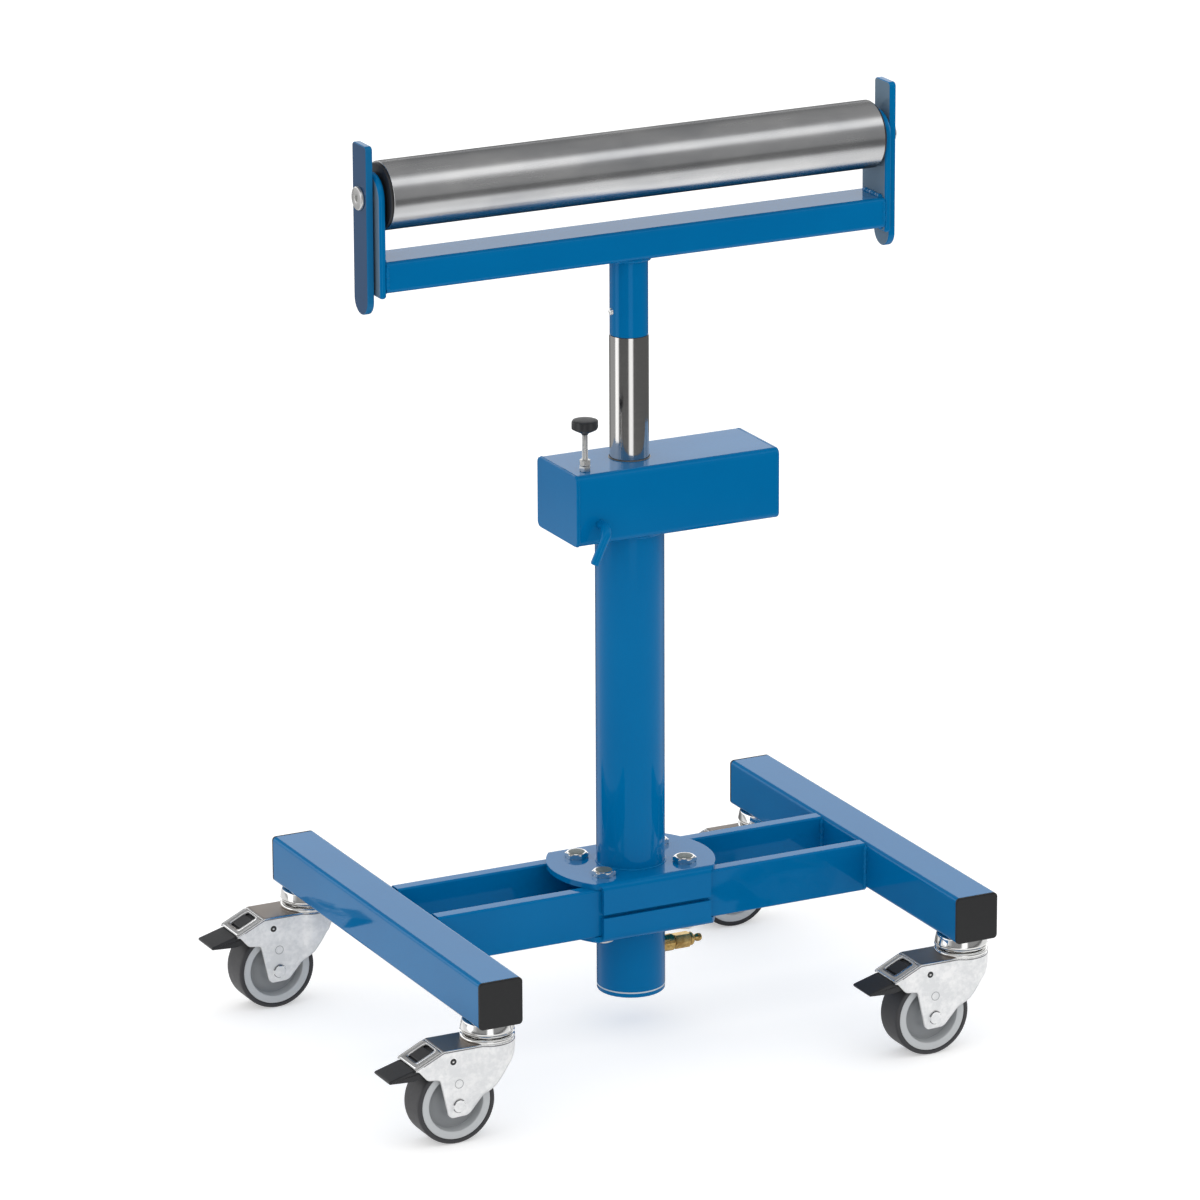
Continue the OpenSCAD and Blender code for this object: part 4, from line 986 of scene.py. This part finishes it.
def fork_sheet():
    """Outer skin of the fork about the swivel axis.

    Each row starts on the spine and runs out over the top, round a quarter fold and down the wall to
    the leg's edge. Round the crown the rows are spokes of the swivel axis. The hood's slope is filled
    by rings between its border and a window whose edge is a superellipse. Also gives the ribs on the
    hood's folds, the embossed rings and a dark line that runs round under the top, which round the
    crown is a painted shadow under the swivel ring.
    """
    rim, normal = fork_rim()
    rim, normal = (np.concatenate([p, p[-2::-1] * (1, -1)]) for p in (rim, normal))
    spine = np.stack([np.minimum(rim[:, 0], TRAIL), 0 * rim[:, 0]], 1)
    edge = rim - normal * FOLD
    brow, turn, foot = 8, 14, 26
    t = np.linspace(0, 1, brow + 1)[:, None, None]
    top = spine + (edge - spine) * t
    a = np.linspace(0, np.pi / 2, turn - brow + 1)[1:, None, None]
    fold = edge + normal * FOLD * np.sin(a)
    wall = np.broadcast_to(rim, (foot - turn, *rim.shape))
    plan = np.concatenate([top, fold, wall]).transpose(1, 0, 2)
    height = np.interp(plan[..., 0], *HOOD_LINE.T)
    height[:, brow + 1:] = height[:, [brow]]
    height[:, brow + 1: turn + 1] -= FOLD * (1 - np.cos(a[:, 0, 0]))
    low = np.minimum(np.interp(rim[:, 0], *LEG_EDGE.T), height[:, turn] - 0.4)
    s = np.linspace(0, 1, foot - turn + 1)[1:]
    height[:, turn + 1:] = height[:, [turn]] + (low - height[:, turn])[:, None] * s
    grid = np.concatenate([plan - (TRAIL, 0), height[..., None] + WHEEL_R], -1)
    rows, m = len(rim), int(np.searchsorted(rim[: len(rim) // 2, 0], HOOD_BEND - 2.2))
    keep = np.ones((rows - 1, grid.shape[1] - 1), bool)
    far = rows - 1 - m
    keep[:m, :brow] = keep[far:, :brow] = False
    border = np.concatenate([grid[: m + 1, brow], grid[m, brow - 1: 0: -1], grid[far, :brow], grid[far:, brow],
                             grid[-1, brow - 1: 0: -1], grid[0, :brow]])
    border = border[np.linalg.norm(border - np.roll(border, 1, 0), axis=1) > 1e-6]
    along = unit(grid[m, 0] - grid[0, 0])
    u = (border - grid[0, 0]) @ along
    whole = np.hypot(HOOD_BEND - HOOD_END, HOOD_DROP)
    mid, half, aside = 0.54 * whole, np.array([0.36 * whole, 11.2]), 1.6
    spoke = np.stack([u - mid, border[:, 1] - aside], 1)
    k = ((np.abs(spoke / half) ** 9).sum(1)) ** (-1 / 9)
    share = np.linspace(0, 1, 4)[:, None, None]
    ring = spoke + spoke * (k[:, None] - 1) * share
    rings = grid[0, 0] + (ring[..., :1] + mid) * along + (ring[..., 1:] + aside) * np.array([0, 1, 0])
    ribs = [rod(path - (0, way * 1.1, 0), 1.0, (0, 1, 0), 12)
            for way, path in ((1, grid[: m - 1, brow]), (-1, grid[rows - 1: rows - m: -1, brow]))]
    ring = circle(4.2, 64, (0.4 - TRAIL, 61.8))
    marks = [rod(np.insert(ring, 1, way * (CHEEK + 0.05), 1), 0.3, (0, 1, 0), 8, loop=True) for way in (1, -1)]
    inward = np.insert(-normal, 2, 0, 1)
    # Dark line under the fold; round the crown it is a painted shadow under the swivel ring.
    dark_line_under_fold = rod((grid[:, turn] + inward * 0.18)[4: rows - 4], 0.42, (0, 0, 1), 8)
    return [patch(grid, keep=keep, flip=True), patch(rings, loop_columns=True, flip=True)], ribs, marks, dark_line_under_fold


def fork_axle():
    """Wheel axle whose ends are a flanged head with a flat, and two dark arcs round each head: painted shade on its
    rim.
    """
    a = np.arange(72) * TURN / 72
    flats = np.minimum(6, 5.2 / np.maximum(np.cos(a - 2.7), 0.01))
    r = [*(np.full(72, r) for r in (7.15, 7.15, 6.9)), flats, flats, flats - 0.5]
    y = np.array([21.2, 21.8, 22.0, 22.05, 23.3, 23.7])
    shapes = [turned(r, -y, "y"), turned(r, y, "y"), drum(6, -21.5, 21.5, "y", 48)]
    # Dark rods on the head's rim: painted shade on its edge and on its side wall.
    outlines = [rod(np.insert(circle(r, 64, (-TRAIL, WHEEL_R))[a:b], 1, way * y, 1), thick, (0, 1, 0), 8)
                for r, a, b, y, thick in ((6.3, 8, 30, 22.1, 0.4), (5.9, 36, 50, 22.3, 0.75)) for way in (1, -1)]
    return [shifted(s, AXLE) for s in shapes], outlines


def wheel_rim():
    """Flat ring and the dish inside it, each the same on both sides and one closed section."""
    dish = [(6.05, 18.7), (9.0, 18.7), (9.8, 18.2), (10.6, 14.2), (11.8, 10.4), (13.0, 6.6), (16.2, 4.2), (21, 3.2),
            (25.2, 3.8), (26.9, 5.4)]
    ring = [(26.9, 5.4), (27.3, 10), (27.6, 13.6), (28.1, 14.8), (29.0, 15.3), (34.5, 15.45), (35.1, 15.2),
            (35.3, 14.5)]
    return [shifted(lathe(side + [(r, -y) for r, y in side[::-1]], "y", 128, loop=True), AXLE) for side in (ring, dish)]


def wheel_tyre():
    """Solid tyre: flat tread with a shallow crown and round shoulders."""
    side = [(35.4, 14.6), (35.5, 15.7), (36.0, 16), (38.0, 16), (38.9, 15.75), (39.5, 15.2), (39.85, 14.3),
            (39.96, 12.5), (40, 8), (40, 0)]
    return shifted(lathe(side + [(r, -y) for r, y in side[-2::-1]], "y", 128, loop=True), AXLE)


# Side outline of the pedal about the axle.
PEDAL = np.array([(0.06, 1.035), (0.06, 1.2), (-0.2, 1.29), (-0.4, 1.301), (-1.1, 0.992), (-1.1, 1.03),
                  (-1.72, 0.855), (-1.745, 0.82), (-1.72, 0.78), (-1.1, 0.745), (-0.83, 0.8), (-0.63, 0.885),
                  (-0.38, 0.995), (-0.12, 1.03)]) * WHEEL_R


def pedal_shapes():
    """Brake pedal: its side outline across the fork, the tread block in the window, and its pivot."""
    outline = rounded(PEDAL, [0.8, 1.2, 2, 2, 0.3, 0.3, 0.8, 0.4, 0.8, 3, 3, 3, 1, 0.5], 4)
    bar = prism(oriented(outline[:, ::-1]), -17, 17, 1.2, "y")
    slope = np.array([HOOD_BEND - HOOD_END, HOOD_DROP])
    up = unit(np.array([-HOOD_DROP, HOOD_BEND - HOOD_END]))
    low = np.array([HOOD_END, HOOD_TOP - HOOD_DROP])
    a, b = low + slope * 0.26, low + slope * 0.74
    block = rounded([a - up * 4.6, b - up * 4.6, b - up * 0.3, a - up * 0.3], [0.4, 0.4, 1.2, 1.2], 4)
    tread = prism(oriented(block[:, ::-1]), -11.85, 11.85, 0.8, "y")
    pivot = lathe([(0, -21.4), (3.1, -21.4), (3.3, -21.2), (3.3, 21.2), (3.1, 21.4), (0, 21.4)], "y", 32)
    return [shifted(bar, AXLE), shifted(tread, AXLE), shifted(pivot, PIN)]


def casters():
    """The four casters: every piece is made once about the swivel axis and placed four times."""
    caster_bases()
    (fork, ribs, marks, dark_line_under_fold), (axle, outlines), (rim, dish) = fork_sheet(), fork_axle(), wheel_rim()
    pin = lathe([(0, -21.65), (0.8, -21.65), (1.0, -21.5), (1.0, 21.5), (0.8, 21.65), (0, 21.65)], "y", 24)
    rows = [("fork_sheet", "swivel", "zinc", FORK_PAINTED_TOP_SHADE, fork, "fork"),
            ("swivel_ring", "swivel", "zinc", CHROME, [swivel_ring(), *ribs], None),
            ("axle_heads", "swivel", "zinc", FORK_PAINTED_TOP_SHADE, axle, None),
            ("fork_dark_line_and_painted_shade", "swivel", "zinc", DARK_LINE_AND_PAINTED_SHADE, [dark_line_under_fold, *outlines], None),
            ("fork_marks", "swivel", "zinc", MARK, marks, None),
            ("pedal_pin", "brake", "zinc", CHROME, [shifted(pin, PIN)], None),
            ("rim_body", "wheel", "rim_plastic", RIM, [rim], "rim"),
            ("rim_dish", "wheel", "rim_plastic", DISH_PAINTED_SHADE, [dish], None),
            ("tyre_body", "wheel", "tyre_rubber", TYRE, [wheel_tyre()], "tyre"),
            ("pedal_body", "brake", "black_plastic", BLACK, pedal_shapes(), "pedal")]
    for caster, at in CASTERS.items():
        for name, body, slot, finish, shapes, node in rows:
            make(f"{caster}_{name}", f"{caster}_{body}", slot, finish, *shapes, at=at,
                 sheet=SHEET if shapes is fork else None, replaces=[f"{caster}_{node}"] if node else [])


casters()


# ---------------------------------------------------------------- camera, light and floor


CAMERA = np.array([-3054.95, -6034.04, 2557.61])
AZIMUTH, ELEVATION, ROLL = np.radians([-26.61, 17.46, -0.25])
LENS = 221.02


def camera():
    """Camera fitted to the photograph: turned by azimuth and elevation, then rolled about its own axis."""
    back = np.array([np.sin(AZIMUTH) * np.cos(ELEVATION), -np.cos(AZIMUTH) * np.cos(ELEVATION), np.sin(ELEVATION)])
    right = np.array([np.cos(AZIMUTH), np.sin(AZIMUTH), 0])
    up = np.cross(back, right)
    turn = np.stack([right * np.cos(ROLL) + up * np.sin(ROLL), up * np.cos(ROLL) - right * np.sin(ROLL), back], 1)
    data = bpy.data.cameras.new("camera")
    data.lens, data.sensor_width, data.clip_end = LENS, 36, 60
    cam = bpy.data.objects.new("camera", data)
    cam.matrix_world = Matrix.Translation(Vector((CAMERA + COLUMN) * MM)) @ Matrix(turn.tolist()).to_4x4()
    bpy.context.scene.collection.objects.link(cam)
    bpy.context.scene.camera = cam


def strip(x, y, r, azimuth):
    """1 within a narrow wedge about an azimuth: a ramp on the cosine of the angle away from it."""
    across = (x * float(np.cos(np.radians(azimuth))) + y * float(np.sin(np.radians(azimuth)))) / r
    return across.ramp(0.962, 0.99)


def world():
    """White to the camera and an even light on the object.

    What gloss mirrors is a studio: a dim ceiling with a long softbox above the front, a pale wall
    behind, dimmer surroundings in front and two narrow upright strips.
    """
    studio = bpy.data.worlds.new("studio")
    bpy.context.scene.world = studio
    studio.use_nodes = True
    studio.node_tree.nodes.clear()
    n = Nodes(studio.node_tree)
    x, y, z = n.axes(n.node("ShaderNodeTexCoord", output="Generated"))
    rise = z.math("ARCTAN2", y * -1)
    softbox = rise.ramp(0.60, 0.76) * rise.ramp(1.24, 1.06) * z.ramp(0.1, 0.2)
    wall = y.ramp(-0.4, 0.4) * z.ramp(0.42, 0.36)
    level = (x * x + y * y) ** 0.5 + 0.001
    glow = 0.27 + softbox * 0.72 + wall * 1.05 + (strip(x, y, level, 169) + strip(x, y, level, -103)) * z.ramp(0.3, 0.2)
    path = n.node("ShaderNodeLightPath", output="Is Camera Ray")
    glossy = n.node("ShaderNodeLightPath", output="Is Glossy Ray")
    seen = path + (1 - path) * (glossy * glow + (1 - glossy))
    back = n.node("ShaderNodeBackground", {}, {0: (1, 1, 1, 1), 1: seen})
    n.node("ShaderNodeOutputWorld", {}, {0: back})


def floor():
    """Pale floor. The camera sees it white with the stand's soft shadow.

    Gloss sees it brightest near the stand and dim far off, apart from the world's strips, one side and
    a darker wedge behind. Right under the stand gloss sees it dimmer, a painted shadow of the stand.
    """
    data = bpy.data.meshes.new("floor")
    verts, faces = capped(stack([circle(9000)] * 2, [-4, 0]))
    data.from_pydata((verts * MM).tolist(), [], faces)
    ground = bpy.data.materials.new("pale floor")
    ground.use_nodes = True
    ground.node_tree.nodes.clear()
    n = Nodes(ground.node_tree)
    x, y, _ = n.axes(n.node("ShaderNodeTexCoord", output="Object"))
    r = (x * x + y * y) ** 0.5 + 0.001
    far = r.ramp(1.45, 1.9)
    behind = ((x * 0.5 + y * 0.866) / r).ramp(0.6, 0.92)
    # The last factor dims it right under the stand: a painted shadow of the stand, seen only in gloss.
    near = (1 - behind * 0.8) * (1 - r.ramp(0.55, 0.8) * 0.22) * (0.6 + r.ramp(0.3, 0.42) * 0.4)
    aside = ((y - x) / r * 0.707).ramp(0.7, 0.95)
    distant = 0.13 + aside * 0.3 + (strip(x, y, r, 169) + strip(x, y, r, -105)) * 1.3
    bright = near * (1 - far) + far * distant
    matt = n.node("ShaderNodeBsdfDiffuse", {}, {0: (0.8, 0.8, 0.8, 1)})
    to_camera, mirrored, to_object = [n.node("ShaderNodeEmission", {}, {0: (1, 1, 1, 1), 1: level})
                                      for level in (0.4, bright, 0.13)]
    lit, bounce = [n.node("ShaderNodeAddShader", {}, {0: matt, 1: glow}) for glow in (to_camera, to_object)]
    camera_ray = n.node("ShaderNodeLightPath", output="Is Camera Ray")
    glossy = n.node("ShaderNodeLightPath", output="Is Glossy Ray")
    rest = n.node("ShaderNodeMixShader", {}, {0: glossy, 1: bounce, 2: mirrored})
    n.node("ShaderNodeOutputMaterial", {}, {0: n.node("ShaderNodeMixShader", {}, {0: camera_ray, 1: rest, 2: lit})})
    data.materials.append(ground)
    disc = bpy.data.objects.new("floor", data)
    bpy.context.scene.collection.objects.link(disc)


camera()
world()
floor()
bpy.context.scene.view_settings.view_transform = "Standard"
